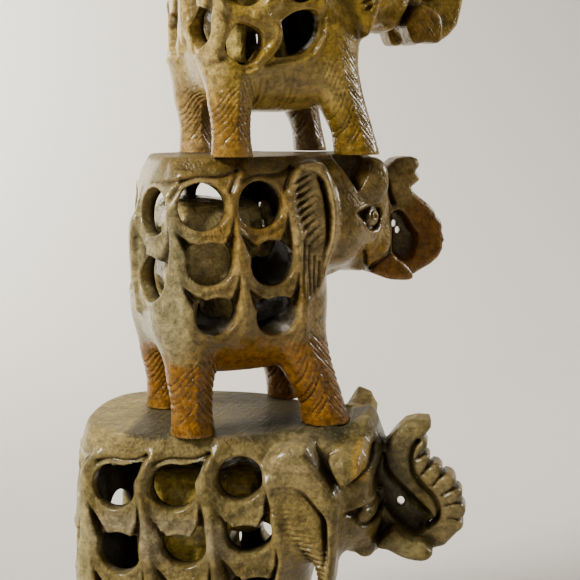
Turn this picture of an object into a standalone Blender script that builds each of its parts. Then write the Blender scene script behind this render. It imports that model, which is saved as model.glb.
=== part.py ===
"""A tower of three stone elephants, glued foot to back, each with a pierced body round a smaller one.

Each elephant is carved from one block. Its body is hollowed and cut through with rows of round holes, and
the small elephant inside was cut free through those holes down to its soles, which are still part of the
floor of the hollow. Metres, +Z up, heads towards +X. The lowest elephant stands on z = 0.
"""

import math
from dataclasses import dataclass

import bpy
from mathutils import Matrix, Vector

# Heights from the soles to the flat of the back
LOWER_HEIGHT = 0.097
MIDDLE_HEIGHT = 0.081
UPPER_HEIGHT = 0.0745

# How far each elephant is turned to its left against the lowest one
MIDDLE_TURN = math.radians(28.0)
UPPER_TURN = math.radians(31.0)

# Where the middle of each stance stands, from the middle of the lowest stance
MIDDLE_STAND = Vector((0.0109, -0.0005))
UPPER_STAND = Vector((0.0213, -0.0002))

# The film of glue under each sole
GLUE_FILM = 0.0003

# The pierced wall of each body, and the radius of its holes
LOWER_WALL = 0.0062
MIDDLE_WALL = 0.0050
UPPER_WALL = 0.0048
LOWER_HOLE = 0.0067
MIDDLE_HOLE = 0.0069
UPPER_HOLE = 0.0063

# The stone left between two holes, along the body and down it
LOWER_BRIDGES = (0.0050, 0.0055)
MIDDLE_BRIDGES = (0.0044, 0.0018)
UPPER_BRIDGES = (0.0049, 0.0016)

# The slab left between each hollow and the back, and the lip between the slab and the first holes
BACK_SLAB = 0.0060
HOLE_LIP = 0.0013

# The small hole through the web of each trunk
CURL_HOLE = 0.0015

# How far the inner soles reach into the floor that they are one with
SOLE_ROOT = 0.0012

# How far the ribs between the holes stand out from the flanks, and how thick they are
RIB_RELIEF = 0.0011
RIB_RADIUS = 0.0021

# Fineness of the carving: the grain the forms are fused with, as a share of a height, and its facets
FUSE_GRAIN = 0.0135
RUBBING = 3
OUTER_FACETS = 1000
INNER_FACETS = 260
HOLE_SIDES = 10

# Height of the barrel's widest level, as a share of a height
BARREL_HEIGHT = 0.60


@dataclass
class Stone:
    """The polished stone of one elephant."""

    name: str
    colour: tuple
    roughness: float


@dataclass
class Figure:
    """One elephant's pose and proportions, as shares of its height; x runs forward from its stance."""

    torso_middle: float
    torso_reach: float
    torso_breadth: float
    back_reach: float
    belly: float
    stance_length: float
    stance_width: float
    leg_radius: float
    brow: tuple
    ear: tuple
    trunk: tuple
    web: tuple
    tusk: tuple


@dataclass
class Piercing:
    """The hollow and the holes: real sizes, and places as shares of the height."""

    wall: float
    radius: float
    bridges: tuple
    floor: float
    hollow_front: float
    first_column: float
    columns: int
    rows: int
    slant: float
    corner_rows: tuple


@dataclass
class Elephant:
    """One carved elephant and how it stands in the tower."""

    name: str
    height: float
    turn: float
    stand: Vector
    figure: Figure
    piercing: Piercing
    stone: Stone


LOWER_FIGURE = Figure(
    torso_middle=-0.035,
    torso_reach=0.385,
    torso_breadth=0.345,
    back_reach=0.58,
    belly=0.225,
    stance_length=0.52,
    stance_width=0.44,
    leg_radius=0.085,
    brow=(0.475, 0.215, 0.915, 0.085),
    ear=((0.30, 0.93, 0.050), (0.335, 0.82, 0.075), (0.375, 0.68, 0.070), (0.40, 0.55, 0.045)),
    trunk=(
        (0.53, 0.80, 0.100), (0.60, 0.70, 0.070), (0.66, 0.63, 0.058), (0.73, 0.620, 0.055),
        (0.79, 0.665, 0.055), (0.80, 0.735, 0.058), (0.755, 0.805, 0.058), (0.700, 0.865, 0.056),
        (0.670, 0.925, 0.046), (0.705, 0.965, 0.036),
    ),
    web=(0.68, 0.76, 0.656, 0.723),
    tusk=((0.54, 0.645, 0.040), (0.64, 0.61, 0.036), (0.725, 0.575, 0.026)),
)
MIDDLE_FIGURE = Figure(
    torso_middle=-0.055,
    torso_reach=0.345,
    torso_breadth=0.325,
    back_reach=0.50,
    belly=0.19,
    stance_length=0.52,
    stance_width=0.44,
    leg_radius=0.084,
    brow=(0.44, 0.19, 0.90, 0.085),
    ear=((0.165, 0.94, 0.045), (0.18, 0.83, 0.080), (0.19, 0.69, 0.068), (0.22, 0.57, 0.034)),
    trunk=(
        (0.51, 0.80, 0.100), (0.585, 0.70, 0.070), (0.64, 0.60, 0.056), (0.71, 0.580, 0.052),
        (0.775, 0.620, 0.068), (0.775, 0.70, 0.078), (0.730, 0.785, 0.070), (0.680, 0.85, 0.060),
        (0.665, 0.91, 0.050), (0.700, 0.935, 0.042),
    ),
    web=(0.66, 0.73, 0.640, 0.700),
    tusk=((0.46, 0.595, 0.036), (0.57, 0.555, 0.034), (0.655, 0.520, 0.022)),
)
UPPER_FIGURE = Figure(
    torso_middle=-0.035,
    torso_reach=0.34,
    torso_breadth=0.32,
    back_reach=0.43,
    belly=0.165,
    stance_length=0.53,
    stance_width=0.44,
    leg_radius=0.090,
    brow=(0.46, 0.16, 0.90, 0.085),
    ear=((0.22, 0.93, 0.045), (0.245, 0.82, 0.080), (0.265, 0.67, 0.072), (0.30, 0.53, 0.040)),
    trunk=(
        (0.52, 0.79, 0.105), (0.60, 0.69, 0.075), (0.67, 0.575, 0.062), (0.74, 0.530, 0.066),
        (0.805, 0.575, 0.074), (0.805, 0.67, 0.074), (0.755, 0.76, 0.068), (0.700, 0.84, 0.060),
        (0.680, 0.92, 0.050), (0.715, 0.965, 0.038),
    ),
    web=(0.68, 0.71, 0.655, 0.690),
    tusk=((0.50, 0.535, 0.045), (0.60, 0.505, 0.044), (0.70, 0.495, 0.042)),
)

TOWER = (
    Elephant(
        name="lower_elephant",
        height=LOWER_HEIGHT,
        turn=0.0,
        stand=Vector((0.0, 0.0)),
        figure=LOWER_FIGURE,
        piercing=Piercing(
            wall=LOWER_WALL, radius=LOWER_HOLE, bridges=LOWER_BRIDGES, floor=0.39, hollow_front=0.24,
            first_column=-0.225, columns=3, rows=3, slant=0.008, corner_rows=(0.83, 0.60),
        ),
        stone=Stone("sage_soapstone", (0.42, 0.39, 0.29, 1.0), 0.28),
    ),
    Elephant(
        name="middle_elephant",
        height=MIDDLE_HEIGHT,
        turn=MIDDLE_TURN,
        stand=MIDDLE_STAND,
        figure=MIDDLE_FIGURE,
        piercing=Piercing(
            wall=MIDDLE_WALL, radius=MIDDLE_HOLE, bridges=MIDDLE_BRIDGES, floor=0.37, hollow_front=0.17,
            first_column=-0.235, columns=2, rows=3, slant=0.018, corner_rows=(0.81, 0.57),
        ),
        stone=Stone("umber_soapstone", (0.45, 0.36, 0.20, 1.0), 0.26),
    ),
    Elephant(
        name="upper_elephant",
        height=UPPER_HEIGHT,
        turn=UPPER_TURN,
        stand=UPPER_STAND,
        figure=UPPER_FIGURE,
        piercing=Piercing(
            wall=UPPER_WALL, radius=UPPER_HOLE, bridges=UPPER_BRIDGES, floor=0.37, hollow_front=0.18,
            first_column=-0.240, columns=2, rows=3, slant=0.003, corner_rows=(0.72, 0.49),
        ),
        stone=Stone("olive_soapstone", (0.46, 0.37, 0.19, 1.0), 0.26),
    ),
)


def clear_scene():
    """Removes whatever the file starts with."""
    for obj in list(bpy.data.objects):
        bpy.data.objects.remove(obj)


def make_collection(name, hidden=False):
    """A collection in the scene; the one that holds blanks and cutters stays out of renders."""
    made = bpy.data.collections.new(name)
    bpy.context.scene.collection.children.link(made)
    made.hide_render = hidden
    return made


def stone_material(stone):
    """The material of one elephant."""
    material = bpy.data.materials.new(stone.name)
    material.use_nodes = True
    shader = material.node_tree.nodes["Principled BSDF"]
    shader.inputs["Base Color"].default_value = stone.colour
    shader.inputs["Roughness"].default_value = stone.roughness
    shader.inputs["Metallic"].default_value = 0.0
    return material


def taken(bench):
    """The object that the last operator made, moved to the bench."""
    obj = bpy.context.object
    for holder in list(obj.users_collection):
        holder.objects.unlink(obj)
    bench.objects.link(obj)
    obj.display_type = "WIRE"
    obj.hide_render = True
    return obj


def evaluated_copy(bench, obj, name):
    """A new object with the mesh that obj's modifiers, or its bevel, make of it."""
    graph = bpy.context.evaluated_depsgraph_get()
    made = bpy.data.objects.new(name, bpy.data.meshes.new_from_object(obj.evaluated_get(graph)))
    made.matrix_world = obj.matrix_world
    bench.objects.link(made)
    return made


def applied(bench, obj, name):
    """The object with its modifiers applied; the one that had them is removed."""
    made = evaluated_copy(bench, obj, name)
    bpy.data.objects.remove(obj)
    return made


def boulder(bench, centre, radii, square=2.0, under=None, detail=3):
    """An ellipsoid, squarer as square grows over 2; under is its radius below the centre."""
    bpy.ops.mesh.primitive_ico_sphere_add(subdivisions=detail, radius=1.0)
    obj = taken(bench)
    for vertex in obj.data.vertices:
        way = vertex.co.normalized()
        reach = Vector(radii)
        if under is not None and way.z < 0:
            reach.z = under
        total = sum(abs(share / radius) ** square for share, radius in zip(way, reach))
        vertex.co = way * total ** (-1.0 / square) + Vector(centre)
    return obj


def limb(bench, points):
    """A round limb through (x, y, z, radius) points."""
    line = bpy.data.curves.new("limb", "CURVE")
    line.dimensions = "3D"
    line.resolution_u = 5
    line.bevel_depth = 1.0
    line.bevel_resolution = 3
    line.use_fill_caps = True
    spline = line.splines.new("BEZIER")
    spline.bezier_points.add(len(points) - 1)
    for knot, (x, y, z, radius) in zip(spline.bezier_points, points):
        knot.co = (x, y, z)
        knot.radius = radius
        knot.handle_left_type = knot.handle_right_type = "AUTO"
    curve = bpy.data.objects.new("limb", line)
    bench.objects.link(curve)
    bpy.context.view_layer.update()
    return applied(bench, curve, "limb")


def block(bench, low, high):
    """A plain box between two corners."""
    bpy.ops.mesh.primitive_cube_add(size=1.0)
    obj = taken(bench)
    low, high = Vector(low), Vector(high)
    obj.data.transform(Matrix.Translation((low + high) / 2) @ Matrix.Diagonal(high - low).to_4x4())
    return obj


def joined(pieces):
    """Several meshes as one object, still crossing each other."""
    with bpy.context.temp_override(
        active_object=pieces[0], object=pieces[0], selected_editable_objects=pieces, selected_objects=pieces
    ):
        bpy.ops.object.join()
    return pieces[0]


def fused(bench, name, pieces, facets):
    """Forms run into one another as worked stone does, then cut down to so many facets."""
    lump = joined(pieces)
    remesh = lump.modifiers.new("fuse", "REMESH")
    remesh.mode = "VOXEL"
    remesh.voxel_size = FUSE_GRAIN
    rub = lump.modifiers.new("rub down", "SMOOTH")
    rub.factor = 0.5
    rub.iterations = RUBBING
    fine = applied(bench, lump, name)
    triangles = 2.0 * len(fine.data.polygons)
    thin = fine.modifiers.new("facets", "DECIMATE")
    thin.ratio = facets / triangles
    return applied(bench, fine, name)


def boolean(bench, target, other, operation, crossing=False):
    """The target cut by, joined with, or kept only inside the other, whose own parts may cross."""
    modifier = target.modifiers.new(operation.lower(), "BOOLEAN")
    modifier.operation = operation
    modifier.use_self = crossing
    modifier.object = other
    made = applied(bench, target, target.name)
    bpy.data.objects.remove(other)
    return made


def leg_forms(bench, figure, side):
    """Haunch, shoulder and two legs of one side, one unit tall; the front leg strides forward."""
    rear, front = -figure.stance_length / 2, figure.stance_length / 2
    y = side * figure.stance_width / 2
    radius = figure.leg_radius
    below = -0.03
    rear_leg = (
        (rear + 0.025, y * 0.88, 0.42, radius * 1.45), (rear, y * 0.97, 0.24, radius * 1.10),
        (rear, y, 0.10, radius * 0.88), (rear + 0.005, y, below, radius * 1.04),
    )
    front_leg = (
        (front - 0.13, y * 0.88, 0.42, radius * 1.45), (front - 0.08, y * 0.97, 0.25, radius * 1.15),
        (front - 0.025, y, 0.11, radius * 0.95), (front + 0.008, y, below, radius * 1.10),
    )
    return [
        boulder(bench, (rear + 0.02, y * 0.80, 0.42), (0.145, 0.13, 0.21)),
        boulder(bench, (front - 0.12, y * 0.80, 0.46), (0.13, 0.12, 0.22)),
        limb(bench, rear_leg),
        limb(bench, front_leg),
    ]


def torso_forms(bench, figure):
    """The barrel of the body and the tail against its rump, one unit tall."""
    barrel = boulder(
        bench,
        (figure.torso_middle, 0, BARREL_HEIGHT),
        (figure.torso_reach, figure.torso_breadth, figure.back_reach),
        square=3.0,
        under=BARREL_HEIGHT - figure.belly,
        detail=4,
    )
    rump = figure.torso_middle - figure.torso_reach
    tail = ((rump + 0.045, 0, 0.88, 0.022), (rump + 0.004, 0, 0.74, 0.022), (rump, 0, 0.58, 0.018),
            (rump + 0.016, 0, 0.44, 0.026))
    return [barrel, limb(bench, tail)]


def flank_depth(figure, x, z):
    """How far out from the middle plane the side of the barrel lies, one unit tall."""
    along = abs(x - figure.torso_middle) / figure.torso_reach
    up = abs(z - BARREL_HEIGHT) / (figure.back_reach if z > BARREL_HEIGHT else BARREL_HEIGHT - figure.belly)
    return figure.torso_breadth * max(0.0, 1.0 - along ** 3 - up ** 3) ** (1.0 / 3.0)


def rib_forms(bench, elephant):
    """The waving ribs that run down each flank between and beside the columns of holes, one unit tall."""
    figure, piercing, height = elephant.figure, elephant.piercing, elephant.height
    along, down = (2 * piercing.radius + bridge for bridge in piercing.bridges)
    top_row = 1.0 - (BACK_SLAB + HOLE_LIP + piercing.radius) / height
    radius = RIB_RADIUS / height
    sink = radius - RIB_RELIEF / height
    forms = []
    for side in (-1, 1):
        for rib in range(piercing.columns):
            line = []
            for step in range(2 * piercing.rows):
                z = top_row - (step - 0.5) * down / height / 2
                sway = 0.10 * along / height * (-1) ** step
                x = piercing.first_column + (rib + 0.5) * along / height + piercing.slant * step / 2 + sway
                line.append((x, side * (flank_depth(figure, x, z) - sink), z, radius))
            forms.append(limb(bench, line))
    return forms


def head_forms(bench, figure):
    """Skull, brow domes, jaw, ears, tusks and the curled trunk with its web, one unit tall."""
    brow_x, brow_y, brow_z, brow_radius = figure.brow
    web_x, web_z = figure.web[:2]
    jaw_x, jaw_z = figure.tusk[0][:2]
    forms = [
        boulder(bench, (brow_x - 0.16, 0, 0.75), (0.20, 0.27, 0.27), square=2.6, detail=4),
        boulder(bench, (brow_x - 0.03, 0, 0.82), (0.15, 0.22, 0.21), square=2.8, detail=4),
        boulder(bench, (brow_x + 0.03, 0, 0.72), (0.13, 0.14, 0.17), square=2.4),
        boulder(bench, (jaw_x - 0.04, 0, jaw_z - 0.035), (0.085, 0.075, 0.055)),
        boulder(bench, (web_x, 0, web_z), (0.10, 0.036, 0.15), square=2.4),
        limb(bench, [(x, 0, z, radius) for x, z, radius in figure.trunk]),
    ]
    dome = (brow_radius, brow_radius * 0.9, brow_radius * 1.15)
    for side in (-1, 1):
        forms += [
            boulder(bench, (brow_x, side * brow_y, brow_z), dome),
            limb(bench, [(x, side * 0.262, z, radius) for x, z, radius in figure.ear]),
            limb(bench, [(x, side * 0.095, z, radius) for x, z, radius in figure.tusk]),
        ]
    return forms


def solid_elephant(bench, name, figure, height, facets, flat_back, ribs=()):
    """One elephant before it is pierced, with its soles, and its back where another stands, dressed flat."""
    forms = torso_forms(bench, figure) + head_forms(bench, figure) + list(ribs)
    for side in (-1, 1):
        forms += leg_forms(bench, figure, side)
    solid = fused(bench, name, forms, facets)
    solid.data.transform(Matrix.Scale(height, 4))
    reach = height * 1.5
    top = height if flat_back else reach
    return boolean(bench, solid, block(bench, (-reach, -reach, 0), (reach, reach, top)), "INTERSECT")


def hollow_span(elephant):
    """(rear, front, floor, ceiling) of the hollow."""
    figure, piercing, height = elephant.figure, elephant.piercing, elephant.height
    rear = (figure.torso_middle - figure.torso_reach) * height + piercing.wall
    return rear, piercing.hollow_front * height, piercing.floor * height, height - BACK_SLAB


def hollow(bench, elephant):
    """The space inside the body."""
    rear, front, floor, ceiling = hollow_span(elephant)
    half_width = elephant.figure.torso_breadth * elephant.height - elephant.piercing.wall
    centre = ((rear + front) / 2, 0, (floor + ceiling) / 2)
    return boulder(bench, centre, ((front - rear) / 2, half_width, (ceiling - floor) / 2), square=4.0)


def hole_cutter(bench, piercing, place, way):
    """A round hole through the wall, a little wider at its mouth."""
    bpy.ops.mesh.primitive_cone_add(
        vertices=HOLE_SIDES,
        radius1=piercing.radius,
        radius2=piercing.radius * 1.06,
        depth=piercing.wall * 3.4,
    )
    cutter = taken(bench)
    turn = way.to_track_quat("Z", "Y").to_matrix().to_4x4()
    cutter.data.transform(Matrix.Translation(place - way * piercing.wall * 0.7) @ turn)
    return cutter


def curl_cutter(bench, elephant):
    """The small hole through the web between face and trunk."""
    bpy.ops.mesh.primitive_cylinder_add(vertices=8, radius=CURL_HOLE, depth=elephant.height * 0.3)
    cutter = taken(bench)
    x, z = elephant.figure.web[2:]
    place = Matrix.Translation((x * elephant.height, 0, z * elephant.height))
    cutter.data.transform(place @ Matrix.Rotation(math.radians(90), 4, "X"))
    return cutter


def cutters(bench, elephant):
    """Every hole of one elephant: rows down both flanks, a column on each corner of the rump, the curl's."""
    figure, piercing, height = elephant.figure, elephant.piercing, elephant.height
    along, down = (2 * piercing.radius + bridge for bridge in piercing.bridges)
    top_row = height - BACK_SLAB - HOLE_LIP - piercing.radius
    flank = figure.torso_breadth * height
    rump = (figure.torso_middle - figure.torso_reach) * height
    made = [curl_cutter(bench, elephant)]
    for side in (-1, 1):
        for column in range(piercing.columns):
            for row in range(piercing.rows):
                x = (piercing.first_column + piercing.slant * row) * height + along * column
                place = Vector((x, side * flank, top_row - down * row))
                made.append(hole_cutter(bench, piercing, place, Vector((0, side, 0))))
        for share in piercing.corner_rows:
            place = Vector((rump + 0.03 * height, side * flank * 0.56, share * height))
            made.append(hole_cutter(bench, piercing, place, Vector((-0.90, side * 0.436, 0))))
    return joined(made)


def inner_elephant(bench, elephant):
    """The small elephant that stands in the hollow, its soles still part of the floor."""
    rear, front, floor, ceiling = hollow_span(elephant)
    height = (ceiling - floor) * 0.80
    solid = solid_elephant(bench, "inner", elephant.figure, height, INNER_FACETS, flat_back=False)
    shorten = (front - rear) * 0.80 / (1.30 * height)
    solid.data.transform(Matrix.Diagonal((shorten, 0.72, 1.0)).to_4x4())
    stance = (rear + front) / 2 - 0.21 * height * shorten
    solid.data.transform(Matrix.Translation((stance, 0, floor - SOLE_ROOT)))
    return solid


def carved(bench, elephant, flat_back):
    """A whole elephant: the pierced body and the small elephant inside, one solid."""
    ribs = rib_forms(bench, elephant)
    blank = (elephant.name, elephant.figure, elephant.height, OUTER_FACETS, flat_back, ribs)
    body = solid_elephant(bench, *blank)
    body = boolean(bench, body, hollow(bench, elephant), "DIFFERENCE")
    body = boolean(bench, body, cutters(bench, elephant), "DIFFERENCE", crossing=True)
    return boolean(bench, body, inner_elephant(bench, elephant), "UNION")


def centre_in_plan(shown):
    """Moves the whole tower until the middle of its plan is at x = y = 0."""
    bpy.context.view_layer.update()
    points = [obj.matrix_world @ vertex.co for obj in shown.objects for vertex in obj.data.vertices]
    for axis in (0, 1):
        values = [point[axis] for point in points]
        middle = (min(values) + max(values)) / 2
        for obj in shown.objects:
            obj.location[axis] -= middle
    bpy.context.view_layer.update()


def main():
    """Carves the three elephants and glues them into a tower."""
    clear_scene()
    shown = make_collection("elephant_tower")
    bench = make_collection("carver_bench", hidden=True)
    level = 0.0
    for elephant in TOWER:
        body = carved(bench, elephant, flat_back=elephant is not TOWER[-1])
        body.data.materials.clear()
        body.data.materials.append(stone_material(elephant.stone))
        bench.objects.unlink(body)
        shown.objects.link(body)
        body.name = elephant.name
        body.location = (elephant.stand.x, elephant.stand.y, level)
        body.rotation_euler = (0, 0, elephant.turn)
        level += elephant.height + GLUE_FILM
    centre_in_plan(shown)


main()
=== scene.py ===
"""Looks of the elephant tower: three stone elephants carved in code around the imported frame.

Each elephant is carved from a block of signed distances. Forms are merged into the block, hollows and
grooves are cut from it, and its skin is drawn as one mesh. One unit in a block is the elephant's height,
with x towards the trunk, y to its left and z up from the soles.
"""

import logging
import math
from dataclasses import dataclass
from enum import Enum
from typing import Callable, Optional

import bpy
import numpy as np
from mathutils import Matrix, Vector


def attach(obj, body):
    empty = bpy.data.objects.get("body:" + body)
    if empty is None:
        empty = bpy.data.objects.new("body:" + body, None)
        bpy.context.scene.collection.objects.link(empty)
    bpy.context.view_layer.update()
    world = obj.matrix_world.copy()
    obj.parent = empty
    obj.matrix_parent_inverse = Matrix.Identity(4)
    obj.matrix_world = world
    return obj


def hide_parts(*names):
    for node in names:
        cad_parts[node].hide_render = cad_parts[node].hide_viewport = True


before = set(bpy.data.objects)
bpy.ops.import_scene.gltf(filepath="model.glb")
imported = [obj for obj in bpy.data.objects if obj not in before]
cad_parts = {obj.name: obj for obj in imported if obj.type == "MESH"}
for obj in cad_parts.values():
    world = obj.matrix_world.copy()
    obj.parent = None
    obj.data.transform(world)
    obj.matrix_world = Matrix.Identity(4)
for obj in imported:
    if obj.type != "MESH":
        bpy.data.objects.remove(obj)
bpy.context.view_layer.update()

LOG = logging.getLogger("elephant_tower")

Point = tuple[float, ...]
Line = tuple[Point, ...]
Field = np.ndarray
Window = tuple[slice, slice, slice]
Socket = bpy.types.NodeSocket

# Distance that an empty block starts with, in heights
FAR = 0.25

# Depth of a stroke, in heights, at which its floor is painted fully dark, for wax and dust and for the shade
# in it
FULL_STAIN_AND_SHADE_DEPTH = 0.006

# How the elephants stand, as in the solids: metres and radians
LOWEST_STANCE = (-0.02007, -0.00090, 0.0)
MIDDLE_TURN = math.radians(28.0)
UPPER_TURN = math.radians(31.0)


class Fineness(Enum):
    """Grid cells of the outer and of the inner elephants, each in its own elephant's height."""

    QUICK = (0.009, 0.02)
    FULL = (0.0052, 0.011)


def smaller(first: Field, second: Field, blend: float) -> Field:
    """The smaller of two distances, rounded over where they are close.

    Args:
        first: One distance field.
        second: The other.
        blend: Width of the rounding; 0 keeps a sharp crease.

    Returns:
        The field of both forms together.
    """
    if blend <= 0.0:
        return np.minimum(first, second)
    close = np.maximum(blend - np.abs(first - second), 0.0)
    return np.minimum(first, second) - close * close / (4.0 * blend)


def larger(first: Field, second: Field, blend: float) -> Field:
    """The larger of two distances, rounded over where they are close."""
    return -smaller(-first, -second, blend)


def eased(value: Field, low: float, high: float) -> Field:
    """A smooth step."""
    share = np.clip((value - low) / (high - low), 0.0, 1.0)
    return share * share * (3.0 - 2.0 * share)


def hump(away: Field, width: float) -> Field:
    """1 at no distance, fading out over a width."""
    return np.exp(-((away / width) ** 2))


def drawn(number: Field) -> Field:
    """A value from 0 to 1 that looks drawn by lot, and is always the same for a number."""
    value = np.sin(number) * 43758.5453
    return value - np.floor(value)


def pairs(*thousandths: int) -> Line:
    """(x, z) points from their x and z in turn, in thousandths of the height."""
    values = [value / 1000.0 for value in thousandths]
    return tuple(zip(values[::2], values[1::2]))


def box_round(line: Line, margin: float, near: float, far: float) -> tuple[Point, Point]:
    """The corners of the box round a line in the side view."""
    xs, zs = list(zip(*line))[:2]
    return (min(xs) - margin, near, min(zs) - margin), (max(xs) + margin, far, max(zs) + margin)


def smooth_line(points: Line, steps: int = 6, closed: bool = False) -> Line:
    """A line through the points with its corners taken out.

    Args:
        points: Points of any number of values each.
        steps: New points between two of them.
        closed: Whether the last point joins the first.

    Returns:
        The denser line.
    """
    knots = np.array(points, dtype=np.float64)
    if closed:
        knots = np.vstack((knots[-1], knots, knots[0], knots[1]))
    else:
        knots = np.vstack((2 * knots[0] - knots[1], knots, 2 * knots[-1] - knots[-2]))
    made = []
    for before, start, end, after in zip(knots, knots[1:], knots[2:], knots[3:]):
        for step in range(steps):
            t = step / steps
            made.append(
                start
                + 0.5 * t * (end - before)
                + t * t * (before - 2.5 * start + 2.0 * end - 0.5 * after)
                + t ** 3 * (1.5 * (start - end) + 0.5 * (after - before))
            )
    if not closed:
        made.append(knots[-2])
    return tuple(tuple(float(value) for value in point) for point in made)


def scalloped(creases: Line, bulge: float, steps: int = 5) -> Line:
    """A line of shallow bulges between creases.

    Args:
        creases: (x, z) points where two bulges meet.
        bulge: How far each bulge stands out, as a share of its length.
        steps: Points to a bulge.

    Returns:
        The (x, z) points of the line.
    """
    made = []
    for (ax, az), (bx, bz) in zip(creases, creases[1:]):
        for step in range(steps):
            t = step / steps
            out = bulge * math.sin(math.pi * t)
            made.append((ax + (bx - ax) * t - (bz - az) * out, az + (bz - az) * t + (bx - ax) * out))
    return tuple(made) + (creases[-1],)


def outline_distance(x: Field, z: Field, outline: Line) -> Field:
    """Distance from a closed outline, negative inside it.

    Args:
        x: First coordinate, of any shape.
        z: Second coordinate, of a shape that goes with x.
        outline: The corners of the outline.

    Returns:
        The signed distance.
    """
    shape = np.broadcast(x, z).shape
    best = np.full(shape, FAR * FAR * 16, dtype=np.float32)
    within = np.zeros(shape, dtype=bool)
    for (ax, az), (bx, bz) in zip(outline, outline[1:] + outline[:1]):
        ex, ez = bx - ax, bz - az
        t = np.clip(((x - ax) * ex + (z - az) * ez) / (ex * ex + ez * ez + 1e-12), 0.0, 1.0)
        best = np.minimum(best, (x - ax - t * ex) ** 2 + (z - az - t * ez) ** 2)
        if ez != 0.0:
            within ^= ((az > z) != (bz > z)) & (x < ex * (z - az) / ez + ax)
    return np.where(within, -1.0, 1.0).astype(np.float32) * np.sqrt(best)


def line_distance(x: Field, z: Field, line: Line) -> Field:
    """Distance from an open line in the side view.

    Args:
        x: First coordinate.
        z: Second coordinate.
        line: The points of the line.

    Returns:
        The distance, never negative.
    """
    best = np.full(np.broadcast(x, z).shape, FAR * FAR * 16, dtype=np.float32)
    for (ax, az), (bx, bz) in zip(line, line[1:]):
        ex, ez = bx - ax, bz - az
        t = np.clip(((x - ax) * ex + (z - az) * ez) / (ex * ex + ez * ez + 1e-12), 0.0, 1.0)
        best = np.minimum(best, (x - ax - t * ex) ** 2 + (z - az - t * ez) ** 2)
    return np.sqrt(best)


@dataclass(frozen=True)
class Boulder:
    """An ellipsoid, squarer as `square` grows over 2; `under` is its radius below the centre."""

    centre: Point
    radii: Point
    square: float = 2.0
    under: Optional[float] = None

    def reach(self) -> tuple[Point, Point]:
        """The corners of the box that the form fills."""
        below = self.under if self.under is not None else self.radii[2]
        down = (self.radii[0], self.radii[1], below)
        low = tuple(c - r for c, r in zip(self.centre, down))
        return low, tuple(c + r for c, r in zip(self.centre, self.radii))

    def distance(self, x: Field, y: Field, z: Field) -> Field:
        """Signed distance at the places given.

        Args:
            x: First coordinate.
            y: Second coordinate.
            z: Third coordinate.

        Returns:
            The distance, close to true near the skin.
        """
        below = self.under if self.under is not None else self.radii[2]
        tall = np.where(z < self.centre[2], np.float32(below), np.float32(self.radii[2]))
        parts = [(x - self.centre[0], self.radii[0]), (y - self.centre[1], self.radii[1])]
        parts.append((z - self.centre[2], tall))
        shares = [(np.maximum(np.abs(offset) / radius, 1e-4), radius) for offset, radius in parts]
        total = sum(share ** self.square for share, _ in shares)
        size = total ** (1.0 / self.square)
        steep = sum((share ** (self.square - 1.0) / radius) ** 2 for share, radius in shares)
        return (size - 1.0) * size ** (self.square - 1.0) / np.sqrt(steep)


@dataclass(frozen=True)
class Limb:
    """A limb through (x, y, z, radius) points."""

    points: Line
    steps: int = 5

    def line(self) -> Field:
        """The limb's points after smoothing."""
        return np.array(smooth_line(self.points, self.steps), dtype=np.float32)

    def reach(self) -> tuple[Point, Point]:
        """The corners of the box that the form fills."""
        line = self.line()
        radius = line[:, 3:4]
        return tuple((line[:, :3] - radius).min(axis=0)), tuple((line[:, :3] + radius).max(axis=0))

    def distance(self, x: Field, y: Field, z: Field) -> Field:
        """Signed distance at the places given.

        Args:
            x: First coordinate.
            y: Second coordinate.
            z: Third coordinate.

        Returns:
            The distance from the nearest stretch of the limb.
        """
        line = self.line()
        best = np.full(np.broadcast(x, y, z).shape, FAR, dtype=np.float32)
        for start, end in zip(line, line[1:]):
            way = end[:3] - start[:3]
            length = float(way @ way) + 1e-12
            px, py, pz = x - start[0], y - start[1], z - start[2]
            t = np.clip((px * way[0] + py * way[1] + pz * way[2]) / length, 0.0, 1.0)
            away = np.sqrt((px - t * way[0]) ** 2 + (py - t * way[1]) ** 2 + (pz - t * way[2]) ** 2)
            best = np.minimum(best, away - start[3] - t * (end[3] - start[3]))
        return best


@dataclass(frozen=True)
class Plate:
    """A slab cut to an outline in the side view, between two distances from the middle plane."""

    outline: Line
    near: float
    far: float
    edge: float = 0.0

    def reach(self) -> tuple[Point, Point]:
        """The corners of the box that the form fills."""
        xs, zs = zip(*self.outline)
        return (min(xs), self.near, min(zs)), (max(xs), self.far, max(zs))

    def distance(self, x: Field, y: Field, z: Field) -> Field:
        """Signed distance at the places given."""
        slab = np.maximum(self.near - y, y - self.far)
        return larger(outline_distance(x, z, self.outline), slab, self.edge)


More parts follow.
